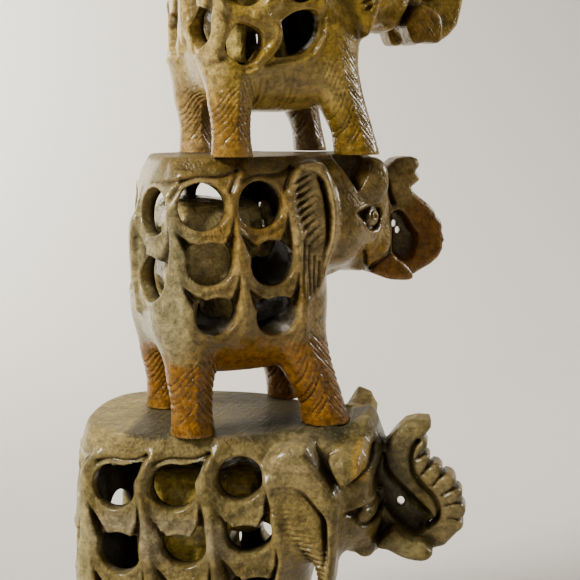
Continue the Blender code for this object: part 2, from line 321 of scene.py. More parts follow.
class StoneBlock:
    """A block of stone as signed distances on a grid; only its half with y from 0 up is carved."""

    def __init__(self, low: Point, high: Point, cell: float) -> None:
        """An empty block.

        Args:
            low: Lowest corner of the whole block.
            high: Highest corner; its y says how wide each half is.
            cell: Size of a cell.
        """
        self.cell = cell
        starts, ends = (low[0], 0.0, low[2]), high
        counts = [int((end - start) / cell) + 2 for start, end in zip(starts, ends)]
        self.axes = [
            np.float32(start) + np.arange(count, dtype=np.float32) * np.float32(cell)
            for start, count in zip(starts, counts)
        ]
        self.depth = np.full([len(axis) for axis in self.axes], FAR, dtype=np.float32)
        self.grime_and_shade = np.zeros_like(self.depth)

    def window(self, low: Point, high: Point) -> Window:
        """The part of the grid that a box covers.

        Args:
            low: Lowest corner of the box.
            high: Highest corner.

        Returns:
            A slice for each axis.
        """
        made = []
        for axis, start, end in zip(self.axes, low, high):
            first = int(math.floor((start - axis[0]) / self.cell))
            last = int(math.ceil((end - axis[0]) / self.cell)) + 1
            made.append(slice(min(max(first, 0), len(axis)), min(max(last, 0), len(axis))))
        return tuple(made)

    def places(self, window: Window) -> tuple[Field, Field, Field]:
        """The coordinates of a window, shaped to go together."""
        x, y, z = (axis[part] for axis, part in zip(self.axes, window))
        return x[:, None, None], y[None, :, None], z[None, None, :]

    def _window_round(self, form: "Boulder | Limb | Plate", blend: float) -> Window:
        """The part of the grid that a form can change."""
        low, high = form.reach()
        margin = blend + 3 * self.cell
        return self.window([a - margin for a in low], [b + margin for b in high])

    def merge(self, form: "Boulder | Limb | Plate", blend: float = 0.03) -> None:
        """Adds a form to the stone."""
        window = self._window_round(form, blend)
        self.depth[window] = smaller(self.depth[window], form.distance(*self.places(window)), blend)

    def cut(self, form: "Boulder | Limb | Plate", blend: float = 0.006) -> None:
        """Cuts a form out of the stone."""
        window = self._window_round(form, blend)
        self.depth[window] = larger(self.depth[window], -form.distance(*self.places(window)), blend)

    def cut_where(self, low: Point, high: Point, field: Callable[..., Field], blend: float = 0.006) -> None:
        """Cuts out what a field calls negative, inside a box."""
        window = self.window(low, high)
        self.depth[window] = larger(self.depth[window], -field(*self.places(window)), blend)

    def emboss(self, low: Point, high: Point, height: Callable[..., Field], stain_and_shade: float = 1.0) -> None:
        """Moves the skin out, or in where the height is negative, inside a box.

        Args:
            low: Lowest corner of the box.
            high: Highest corner.
            height: Takes x, y and z and gives how far the skin moves.
            stain_and_shade: How dark the sunk parts are painted, for old wax and dust and for painted shade.
        """
        window = self.window(low, high)
        moved = height(*self.places(window)).astype(np.float32)
        self.depth[window] -= moved
        # Sunk parts are painted darker the deeper they go, for wax and dust lying there and for painted shade
        if stain_and_shade > 0.0:
            sunk_stain_and_shade = np.clip(-moved / FULL_STAIN_AND_SHADE_DEPTH, 0.0, 1.0) * np.float32(stain_and_shade)
            self.grime_and_shade[window] = np.maximum(self.grime_and_shade[window], sunk_stain_and_shade)

    def keep_under(self, ceiling: Callable[[Field, Field], Field], blend: float = 0.004) -> None:
        """Dresses the top down to a height.

        Args:
            ceiling: Takes x and y and gives the height.
            blend: How rounded the new edge is.
        """
        window = tuple(slice(0, len(axis)) for axis in self.axes)
        x, y, z = self.places(window)
        self.depth = larger(self.depth, z - ceiling(x, y), blend)

    def opened_up(self) -> "WholeStone":
        """The block with its other half mirrored on."""
        whole, grime_and_shade = (
            np.concatenate((grid[:, :0:-1, :], grid), axis=1) for grid in (self.depth, self.grime_and_shade)
        )
        low = np.array((self.axes[0][0], -self.axes[1][-1], self.axes[2][0]), dtype=np.float64)
        return WholeStone(whole, grime_and_shade, low, self.cell)


class WholeStone:
    """Both halves of a carved block, read and skinned but carved no more by forms."""

    # Pitch, share and shift of the swells that make the skin uneven
    SWELLS = ((13.0, 1.0, 0.3), (27.0, 0.55, 1.9), (49.0, 0.3, 4.1))

    def __init__(self, depth: Field, grime_and_shade: Field, low: Field, cell: float) -> None:
        """Takes the distances over.

        Args:
            depth: Signed distances.
            grime_and_shade: How dark the stone is painted at each grid point, for wax and dust and for shade
                in sunk places.
            low: Place of the first grid point.
            cell: Size of a cell.
        """
        self.depth = depth
        self.grime_and_shade = grime_and_shade
        self.low = low
        self.cell = cell

    def waver(self, swell: float) -> None:
        """Takes the machine's evenness off the skin with long, low swells.

        Args:
            swell: How far the skin moves at most, in heights.
        """
        x, y, z = (
            (start + np.arange(count) * self.cell).astype(np.float32)
            for start, count in zip(self.low, self.depth.shape)
        )
        for pitch, share, shift in self.SWELLS:
            along = np.sin(pitch * x + shift)[:, None, None]
            across = np.sin(pitch * 1.13 * y + 2.0 * shift)[None, :, None]
            up = np.sin(pitch * 0.91 * z + 3.0 * shift)[None, None, :]
            self.depth += (np.float32(swell * share) * along) * (across * up)

    def keep_over(self, floor: float) -> None:
        """Cuts everything below a level away."""
        levels = self.low[2] + np.arange(self.depth.shape[2]) * self.cell
        self.depth = np.maximum(self.depth, (floor - levels).astype(np.float32)[None, None, :])

    def read(self, points: Field, grid: Optional[Field] = None) -> Field:
        """Distances, or another grid's values, at any places.

        Args:
            points: An array of x, y, z rows.
            grid: The grid to read instead of the distances.

        Returns:
            One value for each row.
        """
        grid = self.depth if grid is None else grid
        place = (points - self.low) / self.cell
        limits = np.array(self.depth.shape) - 2
        corner = np.clip(np.floor(place).astype(np.int64), 0, limits)
        share = np.clip(place - corner, 0.0, 1.0).astype(np.float32)
        made = np.zeros(len(points), dtype=np.float32)
        for dx in (0, 1):
            for dy in (0, 1):
                for dz in (0, 1):
                    weight = np.abs(1 - dx - share[:, 0]) * np.abs(1 - dy - share[:, 1])
                    weight *= np.abs(1 - dz - share[:, 2])
                    made += weight * grid[corner[:, 0] + dx, corner[:, 1] + dy, corner[:, 2] + dz]
        return made

    def slope(self, points: Field) -> Field:
        """The way in which the distance grows.

        Args:
            points: An array of x, y, z rows.

        Returns:
            One vector for each row, of any length.
        """
        step = self.cell * 0.8
        made = np.empty((len(points), 3), dtype=np.float32)
        for axis in range(3):
            shift = np.zeros(3)
            shift[axis] = step
            made[:, axis] = (self.read(points + shift) - self.read(points - shift)) / (2 * step)
        return made

    def skin(self) -> tuple[Field, Field]:
        """The surface of the stone as quads, with loose crumbs left out.

        Returns:
            The vertices and the four vertex numbers of each face.
        """
        solid = self.depth < 0.0
        counts = [count - 1 for count in solid.shape]
        filled = np.zeros(counts, dtype=np.int8)
        for dx in (0, 1):
            for dy in (0, 1):
                for dz in (0, 1):
                    filled += solid[dx:dx + counts[0], dy:dy + counts[1], dz:dz + counts[2]]
        cells = np.flatnonzero((filled > 0) & (filled < 8))
        number = np.full(counts, -1, dtype=np.int32)
        number.reshape(-1)[cells] = np.arange(len(cells), dtype=np.int32)
        base = np.stack(np.unravel_index(cells, counts), axis=1)
        total = np.zeros((len(cells), 3))
        crossings = np.zeros(len(cells))
        for axis in range(3):
            for first in (0, 1):
                for second in (0, 1):
                    corner = np.insert(np.array((first, second)), axis, 0)
                    a = self.depth[tuple((base + corner).T)]
                    b = self.depth[tuple((base + corner + np.eye(3, dtype=int)[axis]).T)]
                    crosses = (a < 0.0) != (b < 0.0)
                    share = np.where(crosses, a / np.where(crosses, a - b, 1.0), 0.0)
                    place = corner + share[:, None] * np.eye(3)[axis]
                    total += np.where(crosses[:, None], place, 0.0)
                    crossings += crosses
        vertices = self.low + (base + total / crossings[:, None]) * self.cell
        slope = self.slope(vertices)
        steep = np.maximum((slope ** 2).sum(axis=1), 0.2)
        vertices -= np.clip(self.read(vertices) / steep, -self.cell, self.cell)[:, None] * slope
        faces = np.concatenate([self._faces_across(solid, number, axis) for axis in range(3)])
        return self._without_crumbs(vertices, faces)

    @staticmethod
    def _faces_across(solid: Field, number: Field, axis: int) -> Field:
        """The quads around every grid edge along one axis that leaves the stone.

        Args:
            solid: Which grid points are stone.
            number: Vertex number of each cell, or -1.
            axis: The axis of the edges.

        Returns:
            Vertex numbers, four to a row.
        """
        others = [other for other in range(3) if other != axis]
        start = [slice(1, -1)] * 3
        start[axis] = slice(0, -1)
        end = list(start)
        end[axis] = slice(1, None)
        leaves = solid[tuple(start)] != solid[tuple(end)]
        place = np.argwhere(leaves)
        for other in others:
            place[:, other] += 1
        outward = solid[tuple(place.T)]
        first, second = np.zeros(3, dtype=int), np.zeros(3, dtype=int)
        first[others[0]] = 1
        second[others[1]] = 1
        ring = [number[tuple((place - shift).T)] for shift in (first + second, second, 0 * first, first)]
        quads = np.stack(ring, axis=1)
        flip = outward if axis != 1 else ~outward
        return np.where(flip[:, None], quads, quads[:, ::-1])

    @staticmethod
    def _without_crumbs(vertices: Field, faces: Field) -> tuple[Field, Field]:
        """Keeps only the largest connected skin.

        Args:
            vertices: All vertices.
            faces: All quads.

        Returns:
            The vertices and quads of the largest piece.
        """
        label = np.arange(len(vertices))
        edges = np.concatenate([faces[:, (0, 1)], faces[:, (1, 2)], faces[:, (2, 3)]])
        while True:
            lowest = np.minimum(label[edges[:, 0]], label[edges[:, 1]])
            fresh = label.copy()
            np.minimum.at(fresh, edges[:, 0], lowest)
            np.minimum.at(fresh, edges[:, 1], lowest)
            fresh = fresh[fresh]
            if np.array_equal(fresh, label):
                break
            label = fresh
        names, sizes = np.unique(label, return_counts=True)
        kept = label == names[np.argmax(sizes)]
        renumber = np.cumsum(kept) - 1
        return vertices[kept], renumber[faces[kept[faces[:, 0]]]]


@dataclass(frozen=True)
class Torso:
    """Barrel and tail, as shares of the height."""

    middle: float
    reach: float
    breadth: float
    back_reach: float
    belly: float
    level: float = 0.60
    square: float = 3.0

    def barrel(self) -> Boulder:
        """The barrel of the body."""
        return Boulder(
            (self.middle, 0.0, self.level),
            (self.reach, self.breadth, self.back_reach),
            self.square,
            self.level - self.belly,
        )

    def rump(self) -> float:
        """Where the rump ends."""
        return self.middle - self.reach

    def carve(self, block: StoneBlock) -> None:
        """Merges the barrel and the tail into the block.

        Args:
            block: The elephant's block.
        """
        block.merge(self.barrel(), 0.0)
        rump = self.rump()
        tail = (
            (rump + 0.045, 0.0, 0.88, 0.022), (rump + 0.004, 0.0, 0.74, 0.022),
            (rump, 0.0, 0.58, 0.018), (rump + 0.014, 0.0, 0.44, 0.026),
        )
        block.merge(Limb(tail), 0.012)


@dataclass(frozen=True)
class Legs:
    """Four legs with herringbone strokes, as shares of the height."""

    length: float
    width: float
    radius: float
    stroke_pitch: float
    stroke_depth: float
    below: float = -0.03

    def rear_line(self) -> Line:
        """Points of a rear leg."""
        rear, y, radius = -self.length / 2, self.width / 2, self.radius
        return (
            (rear + 0.025, y * 0.88, 0.42, radius * 1.45), (rear, y * 0.97, 0.24, radius * 1.10),
            (rear, y, 0.10, radius * 0.90), (rear + 0.005, y, self.below, radius * 1.0),
        )

    def front_line(self) -> Line:
        """Points of a front leg, which strides forward."""
        front, y, radius = self.length / 2, self.width / 2, self.radius
        return (
            (front - 0.13, y * 0.88, 0.42, radius * 1.45), (front - 0.08, y * 0.97, 0.25, radius * 1.15),
            (front - 0.025, y, 0.11, radius * 0.98), (front + 0.008, y, self.below, radius * 1.12),
        )

    def carve(self, block: StoneBlock) -> None:
        """Merges haunch, shoulder and legs into the block.

        Args:
            block: The elephant's block.
        """
        rear, front, y = -self.length / 2, self.length / 2, self.width / 2
        block.merge(Boulder((rear + 0.02, y * 0.80, 0.42), (0.145, 0.13, 0.21)), 0.05)
        block.merge(Boulder((front - 0.12, y * 0.80, 0.46), (0.13, 0.12, 0.22)), 0.05)
        block.merge(Limb(self.rear_line()), 0.03)
        block.merge(Limb(self.front_line()), 0.03)

    def chisel(self, block: StoneBlock) -> None:
        """Cuts the herringbone strokes down each leg.

        Args:
            block: The elephant's block.
        """
        for line, top in ((self.rear_line(), 0.37), (self.front_line(), 0.44)):
            knots = sorted((point[2], point[0]) for point in line)
            levels, middles = zip(*knots)

            def strokes(x: Field, y: Field, z: Field) -> Field:
                """How deep the strokes are at a place."""
                middle = np.interp(z, levels, middles).astype(np.float32)
                away = np.abs(x - middle)
                turn = (z + 1.45 * away + 0.004 * np.sin(50.0 * x + 31.0 * z)) / self.stroke_pitch
                which = np.floor(turn)
                chance = drawn(12.9898 * which + 4.1 * (x > middle) + 7.0 * top)
                groove = hump(turn - which - 0.35 - 0.3 * chance, 0.11)
                fade = eased(z, 0.02, 0.07) * (1.0 - eased(z, top - 0.12, top))
                length = 0.045 + 0.055 * chance
                uneven = (0.30 + 0.70 * chance) * (1.0 - eased(away, length, length + 0.02))
                spine = 0.004 * hump(away, 0.010) * fade
                return spine - self.stroke_depth * groove * fade * uneven

            low = (min(middles) - 0.15, 0.04, 0.0)
            block.emboss(low, (max(middles) + 0.15, 0.5, top), strokes)


@dataclass(frozen=True)
class Eye:
    """An almond socket with a raised ball, on the side of the head."""

    place: Point
    size: float
    pupil: Point = (0.18, 0.12)

    # Corners of the socket and how far its relief reaches, in sizes of the eye
    SOCKET = ((-2.3, 0.55), (-1.2, 0.95), (0.2, 1.12), (1.1, 0.9), (1.45, 0.2), (1.3, -0.9),
              (0.5, -1.45), (-0.6, -1.2), (-1.3, -0.3))
    REACH = 2.8

    def carve(self, block: StoneBlock) -> None:
        """Cuts the socket and leaves the ball standing in it.

        Args:
            block: The elephant's block.
        """
        cx, cz = self.place
        size = self.size

        def relief(x: Field, y: Field, z: Field) -> Field:
            """How far the skin moves at a place."""
            u, v = (x - cx) / size, (z - cz) / size
            rim = outline_distance(u, v, smooth_line(self.SOCKET, 4, closed=True))
            pit = -0.72 * size * (1.0 - eased(rim, -0.45, 0.08))
            ball = np.sqrt(np.maximum(1.0 - (u / 1.05) ** 2 - (v / 0.95) ** 2, 0.0))
            pu, pv = u - self.pupil[0], v - self.pupil[1]
            dot = np.exp(-((pu / 0.22) ** 2 + (pv / 0.30) ** 2)) + 0.45 * hump(np.hypot(pu, pv) - 0.58, 0.12)
            crescent = hump(np.hypot(u - 0.1, v + 0.1) - 1.22, 0.10) * (v < -0.2)
            brow = 0.16 * size * hump(rim - 0.22, 0.16) * (v > 0.0)
            return pit + size * (1.05 * ball - 0.42 * dot + 0.22 * crescent) + brow

        reach = self.REACH * size
        block.emboss((cx - reach, 0.03, cz - reach), (cx + reach, 0.6, cz + reach), relief)


@dataclass(frozen=True)
class Ear:
    """An ear that stands out from the neck, with a sunk inner plane and chiselled ridges."""

    outline: Line
    plane: Line
    stand: float
    sunk: float
    ridge_pitch: float
    ridge_rise: float
    ridge_depth: float
    ridge_span: Point
    ridge_levels: Point
    pleats: tuple[Line, ...] = ()

    def carve(self, block: StoneBlock) -> None:
        """Merges the ear into the block and cuts its inside.

        Args:
            block: The elephant's block.
        """
        rim = smooth_line(self.outline, 4, closed=True)
        block.merge(Plate(rim, 0.10, self.stand, 0.05), 0.02)
        plane = smooth_line(self.plane, 4, closed=True)
        start, end = self.ridge_span

        def from_left(x: Field, z: Field) -> Field:
            """How far right a place is of the inner plane's left edge."""
            return x - np.interp(z, *zip(*sorted((point[1], point[0]) for point in self.left_edge())))

        def sunk_plane(x: Field, y: Field, z: Field) -> Field:
            """How far the inner plane lies below the rim."""
            across = np.clip(from_left(x, z) / 0.15, 0.0, 1.0)
            edge = outline_distance(x, z, plane)
            return -(1.0 - eased(edge, -0.012, 0.004)) * self.sunk * (0.15 + 0.85 * across ** 1.3)

        def folds(x: Field, y: Field, z: Field) -> Field:
            """How deep the grooves between the ridges are, and the step along the far rim."""
            along, edge = from_left(x, z), outline_distance(x, z, plane)
            across = np.clip(along / 0.15, 0.0, 1.0)
            turn = (z - self.ridge_rise * along) / self.ridge_pitch + 0.12 * np.sin(23.0 * z)
            groove = hump(turn - np.floor(turn) - 0.5, 0.20)
            low, high = self.ridge_levels
            span = eased(across, start, start + 0.12) * (1.0 - eased(across, end - 0.3, end))
            span = span * eased(z, low, low + 0.04) * (1.0 - eased(z, high - 0.03, high))
            step = hump(edge + 0.006, 0.007) * eased(across, 0.35, 0.8)
            return -0.014 * step - self.ridge_depth * groove * span * (1.0 - eased(edge, -0.006, 0.02))

        low, high = box_round(rim, 0.03, 0.12, 0.6)
        block.emboss(low, high, sunk_plane, 0.0)
        block.emboss(low, high, folds, 0.8)
        for pleat in self.pleats:
            line = smooth_line(pleat, 4)

            def fold(x: Field, y: Field, z: Field) -> Field:
                """A lengthwise groove below the ear."""
                return -0.011 * hump(line_distance(x, z, line), 0.006)

            block.emboss(*box_round(line, 0.03, 0.1, 0.6), fold)

    def left_edge(self) -> Line:
        """The points of the inner plane's outline on its rump side."""
        rightmost = {}
        xs, zs = zip(*self.plane)
        middle = sum(xs) / len(xs)
        for x, z in self.plane:
            if x <= middle or z in (min(zs), max(zs)):
                rightmost[z] = min(x, rightmost.get(z, x))
        return tuple((x, z) for z, x in rightmost.items())


@dataclass(frozen=True)
class Groove:
    """A chiselled line on the side of the head: its points, its half width and its depth."""

    line: Line
    half_width: float
    depth: float
    near: float = 0.03

    def carve(self, block: StoneBlock) -> None:
        """Sinks the line into the block.

        Args:
            block: The elephant's block.
        """
        line = smooth_line(self.line, 4) if len(self.line) > 2 else self.line

        def sink(x: Field, y: Field, z: Field) -> Field:
            """How deep the groove is at a place."""
            return -self.depth * hump(line_distance(x, z, line), self.half_width)

        block.emboss(*box_round(line, 3 * self.half_width, self.near, 0.6), sink)


@dataclass(frozen=True)
class Head:
    """Skull, brow domes, face, tusks and the curled trunk, as shares of the height."""

    brow: Point
    face: Line
    trunk: Line
    trunk_half: float
    recess: Line
    holes: Line
    tusk: Line
    tusk_reach: Point
    jaw: Point
    notch: Line
    grooves: tuple[Groove, ...]
    eye: Eye
    dome: Line = ()
    breadth: float = 0.28
    web_half: float = 0.012

    def carve(self, block: StoneBlock) -> None:
        """Merges the head into the block and cuts its features.

        Args:
            block: The elephant's block.
        """
        brow_x, brow_y, brow_z, brow_radius = self.brow
        jaw_x, jaw_z = self.jaw
        block.merge(Boulder((brow_x - 0.16, 0.0, 0.75), (0.20, self.breadth, 0.27), 2.6, 0.20), 0.05)
        forehead = (0.14, self.breadth - 0.065, 0.21)
        block.merge(Boulder((brow_x - 0.045, 0.0, 0.80), forehead, 3.2, 0.19), 0.04)
        block.merge(Plate(smooth_line(self.face, 4, closed=True), -0.2, 0.135, 0.06), 0.03)
        block.merge(Boulder((jaw_x, 0.0, jaw_z), (0.085, 0.085, 0.05)), 0.02)
        if self.dome:
            block.merge(Plate(self.dome, brow_y - 0.085, brow_y + 0.075, 0.020), 0.006)

            def facets(x: Field, y: Field, z: Field) -> Field:
                """The two planes that the dome is dressed to."""
                left = np.maximum(brow_x - 0.008 - x, 0.0)
                return -0.45 * left - 0.30 * np.maximum(x - brow_x, 0.0) * eased(y, brow_y, brow_y + 0.04)

            xs, zs = zip(*self.dome)
            block.emboss((min(xs), brow_y, min(zs)), (max(xs), 0.5, max(zs) + 0.02), facets, 0.0)
        else:
            ball = (brow_radius, brow_radius * 0.9, brow_radius * 1.15)
            block.merge(Boulder((brow_x, brow_y, brow_z), ball, 2.6), 0.015)
        block.merge(Plate(self.trunk, -0.2, self.trunk_half, 0.030), 0.012)
        block.merge(Plate(smooth_line(self.tusk, 4, closed=True), *self.tusk_reach, 0.022), 0.004)
        pocket = smooth_line(self.recess, 4, closed=True)
        block.cut(Plate(pocket, self.web_half, 0.4, 0.045), 0.012)
        for x, z, radius in self.holes:
            around = tuple(
                (x + radius * math.cos(turn), z + 1.25 * radius * math.sin(turn))
                for turn in np.linspace(0.0, 2.0 * math.pi, 12, endpoint=False)
            )
            block.cut(Plate(around, -0.2, 0.2), 0.003)
        if self.notch:
            block.cut(Plate(self.notch, 0.115, 0.5, 0.03), 0.008)
        for groove in self.grooves:
            groove.carve(block)
        self.eye.carve(block)


@dataclass(frozen=True)
class Column:
    """One column of holes: (x, z, radius) of each, the first one's leaf, and free outlines below."""

    holes: Line
    notched: bool = True
    open_notch: bool = False
    outlines: tuple[Line, ...] = ()

    def widest(self) -> float:
        """The largest radius of its holes."""
        return max(hole[2] for hole in self.holes)


@dataclass(frozen=True)
class Lattice:
    """The hollow and the pierced wall round it.

    The wall has columns of holes, and a bib hangs under each hole but the last.
    """

    wall: float
    floor: float
    front: float
    ceiling: float
    columns: tuple[Column, ...]
    corner: Column
    corner_place: Point
    bib_drop: float
    rib_lift: float
    bib_sink: float = 0.010
    corner_way: Point = (-0.90, 0.436)
    corner_stretch: float = 1.15
    pocket_depth: float = 0.034
    crests: tuple[Line, ...] = ()
    ledge: Line = ()

    def hollow(self, torso: Torso) -> Boulder:
        """The space inside the body.

        Args:
            torso: The body that it is in.

        Returns:
            The form to cut out.
        """
        rear = torso.rump() + self.wall
        centre = ((rear + self.front) / 2, 0.0, (self.floor + self.ceiling) / 2)
        radii = ((self.front - rear) / 2, torso.breadth - self.wall, (self.ceiling - self.floor) / 2)
        return Boulder(centre, radii, 4.0)

    def leaf_lines(self, column: Column) -> tuple[Line, ...]:
        """The grooves that draw a leaf's tip over the first hole and run down beside each bib.

        Args:
            column: The column.

        Returns:
            One line for each groove.
        """
        if not column.notched:
            return ()
        crest = ((-0.75, 1.02), (-0.1, 1.20), (0.55, 1.20), (1.05, 1.26), (1.55, 1.48))
        side = ((1.55, 1.48), (1.32, 1.05), (1.12, 0.62))
        return tuple(smooth_line(self._scaled(line, column.holes[0]), 3) for line in (crest, side))

    def marks(self, column: Column, u: Field, z: Field) -> Field:
        """How deep the leaf grooves and the fine hatching of the bibs are.

        Args:
            column: The column.
            u: Coordinate along the wall.
            z: Height.

        Returns:
            The height of the skin, never over 0.
        """
        made = np.zeros(np.broadcast(u, z).shape, dtype=np.float32)
        for line in self.leaf_lines(column):
            away = line_distance(u, z, line) / column.holes[0][2]
            made -= 0.013 * hump(away, 0.085)
        for hole, below in zip(column.holes, column.holes[1:]):
            x, level, radius = hole
            bib = outline_distance(u, z, self.bib_outline(hole)) / radius
            outside = eased(bib, -0.04, 0.10)
            for outline in self.pocket_outlines(hole, below):
                pocket = outline_distance(u, z, outline) / radius
                made -= self.pocket_depth * (1.0 - eased(pocket, -0.22, 0.04)) * outside
            turn = (u - x) / (0.13 * radius) + 0.9 * (z - level) / radius * np.sign(u - x)
            stroke = hump(turn - np.floor(turn) - 0.5, 0.16)
            made -= 0.0032 * stroke * (1.0 - eased(bib, -0.30, -0.02)) * eased(bib, -0.8, -0.3)
        return made

    def bib_outline(self, hole: Point) -> Line:
        """The bib under a hole.

        Args:
            hole: x, z and radius.

        Returns:
            Its corners.
        """
        drop = self.bib_drop
        shares = ((-1.0, 0.1), (-1.38, -0.15), (-1.12, -0.95), (-0.26, -drop), (0.0, -drop + 0.07),
                  (0.27, -drop + 0.11), (0.55, -drop + 0.07), (0.79, -drop), (1.02, -drop + 0.5),
                  (1.13, -0.5), (1.02, 0.1))
        return self._scaled(shares, hole)

    def pocket_outlines(self, hole: Point, below: Point) -> tuple[Line, Line]:
        """The deep pockets on both sides of a bib, which run into the next hole.

        Args:
            hole: x, z and radius.
            below: The next hole down.

        Returns:
            The left and the right pocket's corners.
        """
        ox, oz = (below[0] - hole[0]) / hole[2], (below[1] - hole[1]) / hole[2]
        drop = self.bib_drop
        left = ((-1.36, -0.30), (-1.12, -0.95), (-0.26, -drop), (ox, oz), (ox - 1.0, oz + 0.25),
                ((ox - 2.46) / 2, (oz - 0.2) / 2))
        right = ((1.20, -0.30), (1.13, -0.5), (1.02, -drop + 0.5), (0.79, -drop), (ox, oz),
                 (ox + 1.0, oz + 0.2), (ox / 2 + 1.20, oz / 2 - 0.1))
        return self._scaled(left, hole), self._scaled(right, hole)

    @staticmethod
    def _scaled(shares: Line, hole: Point) -> Line:
        """Corners given in radii from a hole's middle, as places."""
        x, z, radius = hole
        return tuple((x + radius * u, z + radius * v) for u, v in shares)

    def openings(self, column: Column, u: Field, z: Field) -> Field:
        """Where a column is open, as distances that are negative in an opening.

        Args:
            column: The column.
            u: Coordinate along the wall.
            z: Height.

        Returns:
            The distances.
        """
        gap = np.full(np.broadcast(u, z).shape, FAR, dtype=np.float32)
        bibs = []
        for hole, below in zip(column.holes, column.holes[1:] + (None,)):
            x, level, radius = hole
            ring = np.hypot(u - x, z - level) - radius
            gap = smaller(gap, ring.astype(np.float32), 0.004)
            if below is not None:
                bibs.append(np.maximum(outline_distance(u, z, self.bib_outline(hole)), -ring))
        if column.open_notch:
            shares = ((0.0, 0.0), (-0.2, 0.97), (0.55, 1.0), (1.34, 1.20), (1.14, 0.66), (0.97, 0.25))
            gap = smaller(gap, outline_distance(u, z, self._scaled(shares, column.holes[0])), 0.004)
        for outline in column.outlines:
            gap = smaller(gap, outline_distance(u, z, smooth_line(outline, 3, closed=True)), 0.004)
        for bib in bibs:
            gap = larger(gap, -bib, 0.003)
        return gap

    def relief(self, column: Column, u: Field, z: Field) -> Field:
        """How far a column's ribs, rims and bibs stand out from the wall.

        Args:
            column: The column.
            u: Coordinate along the wall.
            z: Height.

        Returns:
            The height of the skin over the plain wall.
        """
        made = np.zeros(np.broadcast(u, z).shape, dtype=np.float32)
        for hole, below in zip(column.holes, column.holes[1:] + (None,)):
            x, level, radius = hole
            ring = np.hypot(u - x, z - level) / radius
            made += 0.35 * self.rib_lift * hump(ring - 1.12, 0.12)
            if below is None:
                continue
            bib = outline_distance(u, z, self.bib_outline(hole)) / radius
            down = np.clip((level - radius - z) / (radius * (self.bib_drop - 1.0)), 0.0, 1.0)
            within = 1.0 - eased(bib, -0.16, 0.06)
            dish = 1.0 - 0.55 * np.abs((u - x) / radius - 0.1)
            made -= self.bib_sink * within * (1.0 - 0.65 * down) * np.clip(dish, 0.35, 1.0)
        for line in self.rib_lines(column):
            made += self.rib_lift * hump(line_distance(u, z, line), 0.26 * column.holes[0][2])
        return made

    def rib_lines(self, column: Column) -> tuple[Line, Line]:
        """The waving crests on the left and right of a column.

        Args:
            column: The column.

        Returns:
            The two lines.
        """
        left, right = [], []
        x, z, radius = column.holes[0]
        right_top = ((1.62, 1.18), (1.38, 0.62)) if column.notched else ()
        left += [(x - 0.82 * radius, z + 1.35 * radius), (x - 1.30 * radius, z + 0.62 * radius)]
        right += [(x + u * radius, z + v * radius) for u, v in right_top]
        for hole, below in zip(column.holes, column.holes[1:] + (None,)):
            x, z, radius = hole
            left.append((x - 1.38 * radius, z))
            right.append((x + 1.30 * radius, z - 0.1 * radius))
            if below is not None:
                ox, oz = (below[0] - x) / radius, (below[1] - z) / radius
                left.append((x + (ox / 2 - 1.36) * radius, z + (oz / 2 + 0.1) * radius))
                right.append((x + (ox / 2 + 1.36) * radius, z + (oz / 2) * radius))
        x, z, radius = column.holes[-1]
        left.append((x - 1.15 * radius, z - 1.0 * radius))
        right.append((x + 1.25 * radius, z - 1.0 * radius))
        return smooth_line(tuple(left), 4), smooth_line(tuple(right), 4)

    def carve_relief(self, block: StoneBlock) -> None:
        """Raises ribs and sinks bibs on the flank and on the rump's corner.

        Args:
            block: The elephant's block.
        """
        if self.ledge:
            xs, zs = zip(*self.ledge)

            def frieze(x: Field, y: Field, z: Field) -> Field:
                """How far the frieze lies behind the lower flank."""
                level = np.interp(x, xs, zs).astype(np.float32)
                sunk = eased(z - level, -0.004, 0.008) * (1.0 - eased(z - level, 0.06, 0.14))
                lip = hump(z - level + 0.012, 0.010)
                return (0.006 * lip - 0.012 * sunk) * (1.0 - eased(x, xs[-1] - 0.02, xs[-1]))

            def chiselled(x: Field, y: Field, z: Field) -> Field:
                """Upright strokes on the flank under the frieze."""
                level = np.interp(x, xs, zs).astype(np.float32)
                turn = (x + 0.012 * np.sin(19.0 * z)) / 0.026
                stroke = hump(turn - np.floor(turn) - 0.5, 0.20) * drawn(78.2 * np.floor(turn))
                span = eased(level - z, 0.02, 0.06) * eased(z, 0.15, 0.22)
                return -0.007 * stroke * span * eased(x, -0.22, -0.18) * (1.0 - eased(x, 0.06, 0.10))

            block.emboss((xs[0], 0.1, 0.12), (xs[-1], 0.5, 0.8), frieze, 0.0)
            block.emboss((xs[0], 0.1, 0.12), (xs[-1], 0.5, 0.6), chiselled, 0.7)
        for crest in self.crests:
            line = smooth_line(crest, 4)

            def raised(x: Field, y: Field, z: Field) -> Field:
                """A waving rib."""
                return 0.020 * np.exp(-((line_distance(x, z, line) / 0.021) ** 4))

            block.emboss(*box_round(line, 0.08, 0.1, 0.5), raised, 0.0)
        # The marks pass paints its pockets and grooves darker, for wax and dust and for painted shade
        passes = ((self.relief, 0.0), (self.marks, 1.0))
        for column in self.columns:
            low, high = box_round(column.holes, 2.2 * column.widest(), 0.13, 0.6)
            for measure, stain_and_shade in passes:

                def flank(x: Field, y: Field, z: Field) -> Field:
                    """The pass seen from the side."""
                    return measure(column, x, z)

                block.emboss(low, high, flank, stain_and_shade)
        low, high = self._corner_box()
        for measure, stain_and_shade in passes:

            def corner(x: Field, y: Field, z: Field) -> Field:
                """The pass seen along the rump corner's own way."""
                along, out = self._corner_ways(x, y)
                return measure(self.corner, along, z) * eased(out, -0.05, -0.02)

            block.emboss(low, high, corner, stain_and_shade)

    def carve_openings(self, block: StoneBlock) -> None:
        """Cuts every opening through the wall.

        Args:
            block: The elephant's block.
        """
        for column in self.columns:
            margin = 1.8 * column.widest()
            low, high = box_round(column.holes, margin, 0.10, 0.6)
            lowest = min([low[2] + margin] + [z for outline in column.outlines for _, z in outline])
            low = (*low[:2], lowest - margin)

